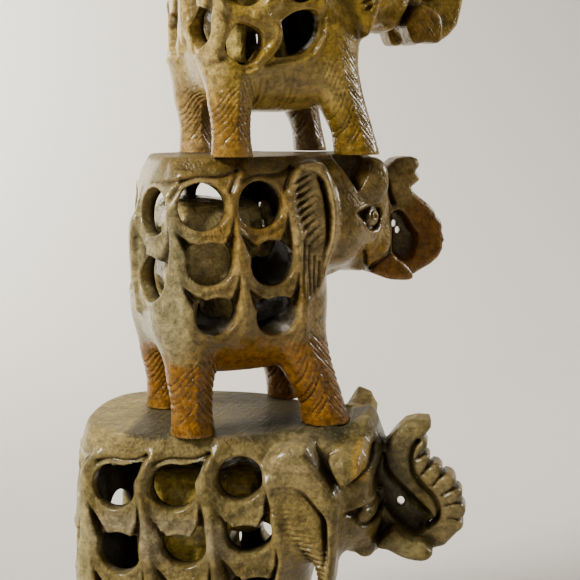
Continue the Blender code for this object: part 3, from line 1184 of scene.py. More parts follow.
            def flank(x: Field, y: Field, z: Field) -> Field:
                """The openings seen from the side."""
                return self.openings(column, x, z)

            block.cut_where(low, high, flank, 0.007)
        low, high = self._corner_box()

        def corner(x: Field, y: Field, z: Field) -> Field:
            """The openings seen along the rump corner's own way."""
            along, out = self._corner_ways(x, y)
            return np.maximum(self.openings(self.corner, along, z), -0.16 - out)

        block.cut_where(low, high, corner, 0.007)

    def _corner_ways(self, x: Field, y: Field) -> tuple[Field, Field]:
        """Coordinates along the rump corner's wall and outward from it."""
        out_x, out_y = self.corner_way
        px, py = self.corner_place
        along = ((x - px) * out_y - (y - py) * out_x) / self.corner_stretch
        return along, (x - px) * out_x + (y - py) * out_y

    def _corner_box(self) -> tuple[Point, Point]:
        """The box round the corner's holes."""
        px, py = self.corner_place
        zs = [hole[1] for hole in self.corner.holes]
        margin = 2.6 * self.corner.widest()
        low = (px - margin, max(py - margin, 0.0), min(zs) - margin)
        return low, (px + margin, py + margin, max(zs) + margin)


@dataclass(frozen=True)
class Patch:
    """A coloured area of the stone: an ellipsoid in heights, its colour, strength and soft border."""

    centre: Point
    spread: Point
    colour: Point
    strength: float = 1.0
    soft: float = 0.5


@dataclass(frozen=True)
class StoneFinish:
    """The looks of one elephant's waxed soapstone."""

    slot: str
    body: Point
    pale: Point
    dark: Point
    # Painted shade: near black, laid over the inside of the hollow body where little light reaches
    hollow: Point
    # Painted light: the small inner elephant's colour, brightened well over its stone's own so that it shows
    # in the dim hollow
    inner: Point
    # Colour of wax and dust in crevices and sunk places, and of the shade painted there
    dirt_and_shade: Point
    patches: tuple[Patch, ...]
    roughness: float = 0.34
    coat: float = 0.45
    mottle_scale: float = 42.0


@dataclass(frozen=True)
class Figure:
    """Everything that one elephant of the tower is carved from."""

    name: str
    node: str
    height: float
    turn: float
    stand: Point
    torso: Torso
    legs: Legs
    head: Head
    ear: Ear
    lattice: Lattice
    finish: StoneFinish
    inner_span: Point
    dome_rise: float = 0.0
    lean: float = 0.0
    far_front: Point = (0.0, 1.0)
    far_rear: Point = (0.0, 1.0)


class MeshMaker:
    """Turns skins into Blender objects."""

    @staticmethod
    def build(name: str, vertices: Field, faces: Field, most: int) -> bpy.types.Object:
        """A smooth mesh object with at most so many triangles.

        Args:
            name: The piece's name.
            vertices: Places in metres.
            faces: Quads.
            most: The most triangles.

        Returns:
            The object, linked to the scene.
        """
        mesh = bpy.data.meshes.new(name)
        mesh.vertices.add(len(vertices))
        mesh.vertices.foreach_set("co", vertices.astype(np.float32).ravel())
        mesh.loops.add(faces.size)
        mesh.loops.foreach_set("vertex_index", faces.astype(np.int32).ravel())
        mesh.polygons.add(len(faces))
        mesh.polygons.foreach_set("loop_start", np.arange(0, faces.size, 4, dtype=np.int32))
        mesh.update(calc_edges=True)
        mesh.validate()
        made = bpy.data.objects.new(name, mesh)
        bpy.context.scene.collection.objects.link(made)
        triangles = 2 * len(faces)
        if triangles > most:
            thin = made.modifiers.new("Thin", "DECIMATE")
            thin.ratio = most / triangles
            evaluated = made.evaluated_get(bpy.context.evaluated_depsgraph_get())
            fewer = bpy.data.meshes.new_from_object(evaluated)
            made.modifiers.clear()
            made.data = fewer
            fewer.name = name
            bpy.data.meshes.remove(mesh)
        made.data.polygons.foreach_set("use_smooth", np.ones(len(made.data.polygons), dtype=bool))
        made.data.update()
        return made

    @staticmethod
    def mark(made: bpy.types.Object, name: str, values: Field) -> None:
        """Writes one number to every vertex."""
        attribute = made.data.attributes.new(name, "FLOAT", "POINT")
        attribute.data.foreach_set("value", np.clip(values, 0.0, 1.0).astype(np.float32))

    @staticmethod
    def places(made: bpy.types.Object) -> Field:
        """The object's vertices as rows of x, y and z."""
        flat = np.empty(3 * len(made.data.vertices), dtype=np.float32)
        made.data.vertices.foreach_get("co", flat)
        return flat.reshape(-1, 3)

    @staticmethod
    def settle(made: bpy.types.Object, places: Field, figure: Figure) -> None:
        """Stands a piece in the tower; the stone's pattern keeps to its own places.

        Args:
            made: The object.
            places: The vertices before they are turned, in metres.
            figure: The elephant that says where it stands.
        """
        own = made.data.attributes.new("place", "FLOAT_VECTOR", "POINT")
        own.data.foreach_set("vector", places.astype(np.float32).ravel())
        turned = places @ np.array(Matrix.Rotation(figure.turn, 3, "Z")).T
        made.data.vertices.foreach_set("co", turned.astype(np.float32).ravel())
        made.data.update()
        made.location = Vector(figure.stand)


class ElephantCarver:
    """Carves one elephant with its pierced wall."""

    LOW = (-0.47, -0.375, -0.01)
    HIGH = (0.90, 0.375, 1.10)
    MOST_TRIANGLES = 190000
    WAVER = 0.0012

    # How far out the stone is felt for to paint shade into crevices, and how far in to find edges
    CREVICE_SHADE_STEPS = (0.008, 0.018, 0.040, 0.080)
    EDGE_STEPS = (0.010, 0.022, 0.045)

    def __init__(self, figure: Figure, cell: float) -> None:
        """Takes the figure and the fineness."""
        self.figure = figure
        self.cell = cell

    def carve(self) -> tuple[WholeStone, Boulder]:
        """Carves the stone.

        Returns:
            The whole stone and its hollow.
        """
        figure = self.figure
        block = StoneBlock(self.LOW, self.HIGH, self.cell)
        figure.torso.carve(block)
        figure.head.carve(block)
        figure.ear.carve(block)
        figure.legs.carve(block)
        figure.lattice.carve_relief(block)
        figure.legs.chisel(block)
        block.keep_under(self._back)
        hollow = figure.lattice.hollow(figure.torso)
        block.cut(hollow, 0.010)
        figure.lattice.carve_openings(block)
        stone = block.opened_up()
        stone.waver(self.WAVER)
        stone.keep_over(0.0)
        return stone, hollow

    def _back(self, x: Field, y: Field) -> Field:
        """How high the dressed back and the head may rise."""
        domes = eased(x, 0.385, 0.42) * eased(y, 0.115, 0.14)
        forehead = eased(x, 0.455, 0.49)
        return 1.0 + self.figure.dome_rise * np.maximum(domes, forehead)

    def build(self) -> bpy.types.Object:
        """Carves the elephant and makes its object.

        Returns:
            The piece.
        """
        figure = self.figure
        stone, hollow = self.carve()
        vertices, faces = stone.skin()
        made = MeshMaker.build(figure.name, vertices, faces, self.MOST_TRIANGLES)
        places = MeshMaker.places(made).astype(np.float64)
        places[:, 2] = np.maximum(places[:, 2], 0.0)
        slope = stone.slope(places)
        ways = slope / np.maximum(np.linalg.norm(slope, axis=1, keepdims=True), 1e-6)
        # Painted shade: how closely stone hems each vertex in, as in ambient occlusion, later darkens
        # crevices
        crevice_shade, edge = np.zeros(len(places)), np.zeros(len(places))
        for step in self.CREVICE_SHADE_STEPS:
            share = np.clip(1.0 - stone.read(places + ways * step) / step, 0.0, 1.0)
            crevice_shade += share / len(self.CREVICE_SHADE_STEPS)
        for step in self.EDGE_STEPS:
            share = np.clip(1.0 + stone.read(places - ways * step) / step, 0.0, 1.0)
            edge += share / len(self.EDGE_STEPS)
        x, y, z = (places[:, axis].astype(np.float32) for axis in range(3))
        room = hollow.distance(x, y, z)
        MeshMaker.mark(made, "crevice_shade", crevice_shade)
        MeshMaker.mark(made, "edge", edge)
        # Painted shade: the inside of the hollow is later painted near black
        MeshMaker.mark(made, "inside", 1.0 - eased(room, 0.006, 0.045))
        # How dark each vertex's sunk place is painted, for wax and dust and for painted shade
        MeshMaker.mark(made, "grime_and_shade", stone.read(places - ways * self.cell, stone.grime_and_shade))
        MeshMaker.settle(made, self._lean(places) * figure.height, figure)
        return made

    def _lean(self, places: Field) -> Field:
        """The places with the head leaned to one side and the far legs carved leaner.

        Args:
            places: Rows of x, y and z.

        Returns:
            The moved rows.
        """
        moved = places.copy()
        share = eased(places[:, 0], 0.38, 0.48) * eased(places[:, 2], 0.80, 0.92)
        aside = np.sign(places[:, 1]) * np.maximum(np.abs(places[:, 1]) - 0.11, 0.0)
        moved[:, 2] += self.figure.lean * aside * share
        far = eased(places[:, 1], 0.04, 0.10) * (1.0 - eased(places[:, 2], 0.10, 0.30))
        for (middle, lean_share), side in ((self.figure.far_front, 1.0), (self.figure.far_rear, -1.0)):
            reached = far * eased(side * places[:, 0], 0.02, 0.10)
            moved[:, 0] += (lean_share - 1.0) * reached * (places[:, 0] - middle)
        return moved


class InnerElephant:
    """The small elephant left standing in a hollow body."""

    MOST_TRIANGLES = 1800
    ROOM = 0.88
    REAR = -0.43
    FRONT = 0.87
    SLIM = 1.42
    SUNK = 0.0012
    WAVER = 0.006
    BARREL = Boulder((-0.05, 0.0, 0.60), (0.38, 0.33, 0.40), 4.5, 0.36)
    HEAD = Boulder((0.42, 0.0, 0.76), (0.20, 0.26, 0.23), 3.5)
    EAR = Plate(((0.16, 0.94), (0.36, 0.96), (0.42, 0.70), (0.30, 0.46), (0.18, 0.62)), 0.12, 0.34, 0.04)
    TRUNK = (
        (0.52, 0.0, 0.74, 0.11), (0.66, 0.0, 0.60, 0.08), (0.76, 0.0, 0.60, 0.07), (0.80, 0.0, 0.74, 0.07),
        (0.74, 0.0, 0.90, 0.06),
    )

    def __init__(self, figure: Figure, cell: float) -> None:
        """Takes the figure that it stands in."""
        self.figure = figure
        self.cell = cell

    def fit(self) -> tuple[Field, Field]:
        """The scale and the place that stand the small elephant in the hollow, in metres."""
        figure, lattice = self.figure, self.figure.lattice
        rear, front = figure.inner_span
        tall = (lattice.ceiling - lattice.floor) * self.ROOM
        length = (front - rear) / (self.FRONT - self.REAR)
        scale = np.array((length, tall * self.SLIM, tall)) * figure.height
        shift = np.array((rear - self.REAR * length, 0.0, lattice.floor)) * figure.height
        return scale, shift - np.array((0.0, 0.0, self.SUNK))

    def build(self) -> bpy.types.Object:
        """Carves the small elephant and makes its object.

        Returns:
            The piece.
        """
        block = StoneBlock((-0.50, -0.40, -0.02), (0.92, 0.40, 1.04), self.cell)
        block.merge(self.BARREL, 0.0)
        block.merge(self.HEAD, 0.06)
        block.merge(self.EAR, 0.02)
        Legs(0.52, 0.42, 0.10, 0.09, 0.008).carve(block)
        block.merge(Limb(self.TRUNK), 0.03)
        Eye((0.52, 0.80), 0.045).carve(block)
        stone = block.opened_up()
        stone.waver(self.WAVER)
        stone.keep_over(0.0)
        vertices, faces = stone.skin()
        scale, shift = self.fit()
        name = self.figure.name + "_inner"
        made = MeshMaker.build(name, vertices * scale + shift, faces, self.MOST_TRIANGLES)
        MeshMaker.settle(made, MeshMaker.places(made), self.figure)
        made.data.polygons.foreach_set("use_smooth", np.zeros(len(made.data.polygons), dtype=bool))
        return made


LOWER = Figure(
    name="lower_stone", node="lower_elephant",
    height=0.097, turn=0.0,
    stand=LOWEST_STANCE,
    torso=Torso(-0.035, 0.385, 0.333, 0.58, 0.225),
    legs=Legs(0.52, 0.44, 0.085, 0.026, 0.008),
    head=Head(
        brow=(0.475, 0.215, 0.915, 0.085),
        face=pairs(
            330, 620,  330, 970,  450, 990,  521, 1025,  545, 1000,  557, 955,  572, 900,  562, 810,
            572, 700,  562, 620,  548, 580,  510, 572,  450, 615,
        ),
        trunk=pairs(
            480, 900,  521, 1026,  542, 1011,  558, 959,  581, 929,  613, 972,  643, 1004,  678, 1014,
            718, 1012,  726, 987,
        )
        + scalloped(pairs(
            704, 955,  703, 905,  723, 872,  768, 845,  810, 800,  822, 750,  829, 690,  814, 645,
        ), 0.24)
        + pairs(775, 600,  726, 583,  654, 582,  560, 587,  480, 620),
        trunk_half=0.056,
        recess=pairs(
            578, 905,  592, 850,  636, 802,  690, 752,  735, 705,  728, 675,  700, 640,  664, 639,
            600, 700,  566, 757,  550, 815,  562, 875,
        ),
        holes=((0.632, 0.732, 0.012),),
        tusk=pairs(
            563, 625,  583, 652,  623, 675,  678, 652,  733, 613,  736, 592,  709, 575,  654, 582,
            599, 606,  573, 610,
        ),
        tusk_reach=(0.045, 0.135), jaw=(0.5, 0.605),
        notch=(),
        grooves=(
            Groove(pairs(
                685, 942,  671, 920,  666, 884,  672, 842,  698, 801,  734, 766,  754, 725,  750, 688,
                725, 665,
            ), 0.008, 0.021, 0.0),
            Groove(((0.704, 0.905), (0.682, 0.885)), 0.0045, 0.012, 0.0),
            Groove(((0.725, 0.872), (0.7, 0.835)), 0.0045, 0.012, 0.0),
            Groove(((0.768, 0.845), (0.735, 0.8)), 0.0045, 0.012, 0.0),
            Groove(((0.81, 0.8), (0.765, 0.77)), 0.0045, 0.012, 0.0),
            Groove(((0.824, 0.75), (0.775, 0.735)), 0.004, 0.01, 0.0),
            Groove(((0.829, 0.69), (0.785, 0.695)), 0.004, 0.01, 0.0),
            Groove(pairs(357, 957,  392, 924,  421, 895,  451, 861), 0.006, 0.014, 0.13),
            Groove(pairs(430, 888,  465, 884,  535, 914,  548, 950), 0.006, 0.014, 0.1),
        ),
        eye=Eye((0.538, 0.745), 0.031),
        dome=pairs(
            388, 950,  428, 972,  467, 990,  521, 992,  541, 962,  531, 928,  458, 896,  425, 912,
        ),
        breadth=0.305,
    ),
    ear=Ear(
        outline=pairs(
            226, 878,  231, 908,  245, 943,  279, 974,  327, 988,  362, 985,  380, 955,  405, 915,
            432, 886,  455, 855,  466, 780,  457, 680,  447, 580,  438, 510,  412, 515,  376, 600,
            351, 644,  303, 702,  279, 746,  243, 804,  231, 838,
        ),
        plane=pairs(
            255, 849,  274, 860,  317, 865,  361, 839,  394, 801,  423, 758,  427, 698,  429, 638,
            424, 579,  415, 530,  395, 555,  366, 610,  340, 655,  296, 712,  270, 752,  247, 800,
        ),
        stand=0.318, sunk=0.034,
        ridge_pitch=0.017, ridge_rise=-0.12, ridge_depth=0.0048,
        ridge_span=(-0.1, 0.75), ridge_levels=(0.53, 0.81),
    ),
    lattice=Lattice(
        wall=0.064, floor=0.39, front=0.24, ceiling=0.938,
        columns=(
            Column(((-0.234, 0.834, 0.07), (-0.218, 0.628, 0.07), (-0.214, 0.45, 0.066)), open_notch=True),
            Column(((-0.044, 0.844, 0.072), (-0.012, 0.668, 0.072), (-0.004, 0.486, 0.066)), open_notch=True),
            Column(((0.157, 0.873, 0.07), (0.186, 0.708, 0.072), (0.19, 0.52, 0.062)), False),
        ),
        corner=Column(((-0.02, 0.83, 0.069), (-0.02, 0.6, 0.069))),
        corner_place=(-0.39, 0.193),
        bib_drop=2.1, rib_lift=0.011,
    ),
    finish=StoneFinish(
        slot="sage_soapstone",
        body=(0.14, 0.098, 0.024),
        pale=(0.3, 0.235, 0.094),
        dark=(0.04, 0.032, 0.011),
        # Painted shade: near black for the inside of the hollow body
        hollow=(0.01, 0.007, 0.0022),
        # Painted light: brightened so that the inner elephant shows in the dim hollow
        inner=(0.92, 0.69, 0.11),
        # Wax and dust in crevices and sunk places, and painted shade there
        dirt_and_shade=(0.022, 0.013, 0.0022),
        patches=(
            Patch((-0.12, -0.34, 0.69), (0.3, 0.12, 0.07), (0.27, 0.214, 0.122), 0.7),
            Patch((-0.42, 0.0, 0.6), (0.105, 0.6, 0.6), (0.33, 0.27, 0.1), 0.9, 0.35),
            Patch((-0.32, 0.0, 1.00), (0.15, 0.6, 0.06), (0.3, 0.22, 0.07), 0.9),
            Patch((-0.12, 0.0, 1.01), (0.09, 0.6, 0.03), (0.04, 0.034, 0.018), 0.9, 0.3),
            Patch((0.17, 0.02, 1.01), (0.2, 0.4, 0.03), (0.085, 0.065, 0.03), 0.9, 0.35),
            Patch((0.34, -0.12, 1.00), (0.17, 0.17, 0.05), (0.017, 0.018, 0.009), 0.9, 0.5),
            Patch((0.32, -0.3, 0.92), (0.12, 0.2, 0.09), (0.27, 0.205, 0.085), 0.8, 0.6),
            Patch((0.33, -0.3, 0.7), (0.09, 0.2, 0.17), (0.25, 0.18, 0.05), 0.8, 0.6),
            Patch((0.535, -0.22, 0.92), (0.045, 0.14, 0.07), (0.326, 0.198, 0.027), 0.85, 0.3),
            Patch((0.51, 0.22, 1.02), (0.08, 0.14, 0.07), (0.407, 0.291, 0.072), 0.85, 0.4),
            # Painted shade with wax and dust: a dark strip along the face edge and a near-black patch in the
            # trunk's pocket
            Patch((0.565, 0.0, 0.9), (0.035, 0.3, 0.1), (0.02, 0.025, 0.013), 0.85, 0.5),
            Patch((0.64, 0.0, 0.74), (0.13, 0.052, 0.15), (0.0091, 0.012, 0.0054), 0.95, 0.35),
            Patch((0.79, 0.0, 0.72), (0.06, 0.2, 0.22), (0.212, 0.157, 0.066), 0.7, 0.5),
            Patch((0.65, -0.1, 0.615), (0.09, 0.05, 0.045), (0.242, 0.2, 0.078), 0.85, 0.3),
            Patch((0.63, 0.0, 0.89), (0.07, 0.2, 0.1), (0.085, 0.07, 0.034), 0.75, 0.6),
        ),
        roughness=0.38, coat=0.28,
    ),
    dome_rise=0.03, lean=0.28,
    inner_span=(-0.21, 0.3),
)

MIDDLE = Figure(
    name="middle_stone", node="middle_elephant",
    height=0.081, turn=MIDDLE_TURN,
    stand=(-0.00917, -0.001, 0.0973),
    torso=Torso(-0.055, 0.345, 0.319, 0.5, 0.19),
    legs=Legs(0.52, 0.44, 0.084, 0.029, 0.008),
    head=Head(
        brow=(0.44, 0.18, 0.9, 0.08),
        face=pairs(
            280, 560,  280, 970,  500, 975,  531, 951,  553, 919,  567, 860,  574, 796,  577, 732,
            587, 668,  560, 600,  500, 560,  450, 545,  380, 560,
        ),
        trunk=pairs(
            470, 880,  520, 950,  575, 936,  601, 951,  631, 975,  658, 980,  693, 982,  720, 973,
            729, 953,  725, 937,  712, 923,  725, 909,  730, 887,  713, 873,  695, 860,  704, 845,
            727, 825,  763, 799,  795, 770,  807, 745,  828, 724,  835, 699,  833, 683,  846, 645,
            837, 633,  837, 609,  818, 577,  782, 549,  737, 527,  708, 512,  662, 530,  600, 530,
            520, 560,  450, 620,
        ),
        trunk_half=0.058,
        recess=pairs(
            635, 775,  670, 746,  693, 712,  716, 683,  721, 655,  713, 614,  700, 586,  673, 570,
            638, 581,  610, 610,  608, 663,  609, 707,  600, 752,
        ),
        holes=((0.634, 0.717, 0.012), (0.652, 0.69, 0.011)),
        tusk=pairs(
            522, 584,  574, 609,  600, 592,  635, 567,  662, 537,  669, 515,  654, 505,  619, 505,
            566, 512,  523, 528,  488, 546,
        ),
        tusk_reach=(0.045, 0.135), jaw=(0.42, 0.59),
        notch=pairs(
            306, 985,  318, 961,  349, 912,  376, 867,  389, 871,  437, 965,  430, 1010,  320, 1010,
        ),
        grooves=(
            Groove(pairs(566, 929,  582, 881,  596, 841,  612, 801), 0.008, 0.03, 0.0),
            Groove(((0.432, 0.637), (0.453, 0.624), (0.471, 0.56)), 0.007, 0.016, 0.0),
        ),
        eye=Eye((0.455, 0.765), 0.041),
    ),
    ear=Ear(
        outline=pairs(
            225, 975,  180, 975,  140, 966,  94, 925,  90, 909,  107, 851,  111, 777,  119, 674,  123, 556,
            128, 476,  170, 485,  225, 534,  245, 590,  262, 637,  286, 716,  290, 787,  280, 866,
            255, 935,
        ),
        plane=pairs(
            135, 951,  156, 958,  194, 946,  223, 918,  244, 867,  258, 788,  254, 709,  237, 638,
            222, 570,  195, 580,  180, 620,  160, 692,  132, 776,  119, 851,  112, 917,
        ),
        stand=0.31, sunk=0.044,
        ridge_pitch=0.029, ridge_rise=0.55, ridge_depth=0.012,
        ridge_span=(-0.4, 0.56), ridge_levels=(0.66, 0.95),
        pleats=(
            ((0.145, 0.7), (0.14, 0.6), (0.142, 0.49)), ((0.165, 0.68), (0.16, 0.59), (0.16, 0.5)),
            ((0.185, 0.64), (0.18, 0.57), (0.178, 0.51)), ((0.207, 0.62), (0.2, 0.57), (0.196, 0.53)),
        ),
    ),
    lattice=Lattice(
        wall=0.0617, floor=0.37, front=0.17, ceiling=0.926,
        columns=(
            Column(((-0.227, 0.828, 0.085), (-0.205, 0.633, 0.085), (-0.191, 0.451, 0.08))),
            Column(((-0.02, 0.832, 0.085), (0.023, 0.625, 0.085), (0.038, 0.437, 0.078))),
        ),
        corner=Column(((-0.036, 0.805, 0.086), (-0.036, 0.565, 0.084))),
        corner_place=(-0.37, 0.182),
        bib_drop=1.55, rib_lift=0.012,
    ),
    finish=StoneFinish(
        slot="umber_soapstone",
        body=(0.179, 0.109, 0.019),
        pale=(0.34, 0.249, 0.096),
        dark=(0.065, 0.041, 0.0076),
        # Painted shade: near black for the inside of the hollow body
        hollow=(0.01, 0.0065, 0.0016),
        # Painted light: brightened so that the inner elephant shows in the dim hollow
        inner=(0.62, 0.5, 0.22),
        # Wax and dust in crevices and sunk places, and painted shade there
        dirt_and_shade=(0.02, 0.01, 0.0009),
        patches=(
            Patch((-0.39, -0.05, 0.58), (0.15, 0.6, 0.38), (0.265, 0.228, 0.115), 0.9, 0.5),
            Patch((0.0, 0.0, 1.0), (0.6, 0.6, 0.06), (0.124, 0.079, 0.013), 0.8, 0.6),
            Patch((0.0, -0.32, 0.78), (0.2, 0.1, 0.16), (0.294, 0.166, 0.02), 0.5, 0.8),
            Patch((0.18, -0.3, 0.78), (0.09, 0.12, 0.2), (0.46, 0.345, 0.15), 0.85, 0.6),
            Patch((-0.05, 0.0, -0.2), (0.92, 1.2, 0.54), (0.205, 0.082, 0.0002), 1.0, 0.04),
            Patch((0.44, 0.0, 0.18), (0.24, 0.5, 0.33), (0.165, 0.065, 0.0002), 1.0, 0.1),
            Patch((0.5, -0.16, 0.62), (0.055, 0.12, 0.05), (0.33, 0.177, 0.0008), 0.85, 0.5),
            Patch((0.0, -0.1, 0.24), (0.17, 0.6, 0.12), (0.3, 0.125, 0.0004), 0.75, 0.6),
            Patch((0.77, 0.0, 0.66), (0.145, 0.4, 0.165), (0.17, 0.066, 0.0003), 1.0, 0.15),
            Patch((0.6, -0.08, 0.555), (0.12, 0.2, 0.06), (0.211, 0.086, 0.0008), 1.0, 0.2),
            # Painted shade with wax and dust: near black in the trunk's pocket round its holes
            Patch((0.65, 0.0, 0.68), (0.075, 0.056, 0.115), (0.027, 0.0073, 0.0008), 0.95, 0.3),
        ),
    ),
    inner_span=(-0.315, 0.14),
    far_front=(0.235, 0.74), far_rear=(-0.215, 0.88),
)

UPPER = Figure(
    name="upper_stone", node="upper_elephant",
    height=0.0745, turn=UPPER_TURN,
    stand=(0.00123, -0.0011, 0.1786),
    torso=Torso(-0.035, 0.34, 0.32, 0.43, 0.165),
    legs=Legs(0.53, 0.44, 0.083, 0.027, 0.008),
    head=Head(
        brow=(0.46, 0.16, 0.9, 0.085),
        face=pairs(
            300, 500,  300, 950,  470, 975,  530, 950,  565, 880,  575, 780,  580, 680,  555, 600,
            530, 534,  494, 501,  466, 493,  429, 512,  380, 500,
        ),
        trunk=pairs(
            460, 860,  500, 950,  545, 950,  585, 900,  620, 950,  655, 985,  705, 995,  735, 970,
            715, 930,  705, 890,  735, 850,  775, 810,  815, 760,  840, 700,  850, 633,  837, 575,
            824, 525,  786, 483,  739, 454,  650, 448,  597, 443,  587, 463,  530, 534,  450, 620,
        ),
        trunk_half=0.057,
        recess=pairs(
            620, 800,  665, 760,  700, 720,  715, 670,  690, 625,  645, 625,  610, 670,  598, 740,
        ),
        holes=((0.645, 0.7, 0.013),),
        tusk=pairs(533, 546,  588, 597,  640, 585,  691, 548,  693, 453,  625, 446,  563, 447),
        tusk_reach=(0.04, 0.145), jaw=(0.46, 0.535),
        notch=pairs(330, 985,  350, 930,  375, 880,  390, 885,  440, 960,  430, 1010),
        grooves=(
            Groove(pairs(575, 900,  590, 850,  600, 800,  615, 760), 0.008, 0.028, 0.0),
            Groove(((0.566, 0.585), (0.545, 0.56), (0.53, 0.545)), 0.01, 0.02, 0.0),
        ),
        eye=Eye((0.487, 0.745), 0.034),
    ),
    ear=Ear(
        outline=pairs(
            300, 965,  240, 975,  185, 955,  150, 900,  160, 820,  175, 720,  200, 600,  235, 500,
            275, 455,  305, 500,  330, 580,  350, 680,  360, 780,  350, 880,
        ),
        plane=pairs(
            200, 925,  245, 940,  290, 905,  315, 840,  325, 760,  315, 680,  298, 600,  275, 540,
            250, 570,  222, 650,  203, 740,  190, 830,
        ),
        stand=0.318, sunk=0.045,
        ridge_pitch=0.026, ridge_rise=0.4, ridge_depth=0.012,
        ridge_span=(-0.2, 0.85), ridge_levels=(0.52, 0.92),
    ),
    lattice=Lattice(
        wall=0.0644, floor=0.37, front=0.18, ceiling=0.9195,
        columns=(
            Column(((-0.225, 0.8, 0.083), (-0.228, 0.635, 0.078)), outlines=(
                pairs(
                    -271, 491,  -310, 416,  -292, 372,  -239, 341,  -190, 360,  -161, 405,  -170, 462,
                    -214, 488,
                ),
            )),
            Column(((-0.03, 0.81, 0.083), (-0.022, 0.655, 0.08)), outlines=(
                pairs(
                    -101, 495,  -66, 527,  -22, 546,  28, 551,  59, 530,  66, 485,  49, 439,  4, 393,
                    -51, 380,  -115, 376,  -100, 410,  -93, 450,
                ),
            )),
        ),
        corner=Column(((-0.02, 0.72, 0.08), (-0.02, 0.482, 0.078))),
        corner_place=(-0.345, 0.179),
        bib_drop=1.4, rib_lift=0.014,
        crests=(
            pairs(
                -340, 600,  -322, 563,  -261, 530,  -193, 523,  -145, 507,  -112, 477,  -110, 437,
                -135, 392,  -180, 350,
            ),
            pairs(-354, 600,  -338, 535,  -330, 478,  -335, 434,  -350, 375),
            pairs(-193, 523,  -150, 560,  -120, 620,  -125, 680),
        ),
        ledge=pairs(
            -420, 395,  -360, 375,  -310, 350,  -240, 312,  -170, 335,  -100, 350,  -20, 360,  40, 385,
            85, 460,  100, 600,
        ),
    ),
    finish=StoneFinish(
        slot="olive_soapstone",
        body=(0.3, 0.19, 0.012),
        pale=(0.41, 0.27, 0.05),
        dark=(0.088, 0.049, 0.0008),
        # Painted shade: near black for the inside of the hollow body
        hollow=(0.01, 0.0065, 0.0014),
        # Painted light: brightened so that the inner elephant shows in the dim hollow
        inner=(0.42, 0.33, 0.1),
        # Wax and dust in crevices and sunk places, and painted shade there
        dirt_and_shade=(0.029, 0.014, 0.0008),
        patches=(
            Patch((-0.36, -0.05, 0.5), (0.075, 0.6, 0.4), (0.47, 0.345, 0.118), 0.85, 0.5),
            Patch((-0.3, -0.24, 0.02), (0.16, 0.16, 0.24), (0.27, 0.13, 0.014), 0.85, 0.6),
            Patch((-0.1, -0.3, 0.5), (0.16, 0.1, 0.08), (0.428, 0.306, 0.086), 0.7, 0.6),
            Patch((-0.27, 0.22, 0.1), (0.14, 0.16, 0.3), (0.36, 0.23, 0.085), 0.85, 0.5),
            Patch((0.26, 0.22, 0.0), (0.16, 0.14, 0.42), (0.16, 0.1, 0.04), 0.9, 0.4),
            Patch((0.26, -0.22, 0.1), (0.12, 0.16, 0.3), (0.175, 0.098, 0.0006), 0.8, 0.6),
            Patch((0.62, -0.12, 0.5), (0.1, 0.08, 0.08), (0.22, 0.113, 0.0008), 0.8, 0.3),
            Patch((-0.02, -0.25, 0.27), (0.26, 0.24, 0.11), (0.42, 0.3, 0.095), 0.7, 0.6),
        ),
    ),
    inner_span=(-0.27, 0.16),
    far_front=(0.235, 0.74), far_rear=(-0.215, 0.88),
)

TOWER = (LOWER, MIDDLE, UPPER)


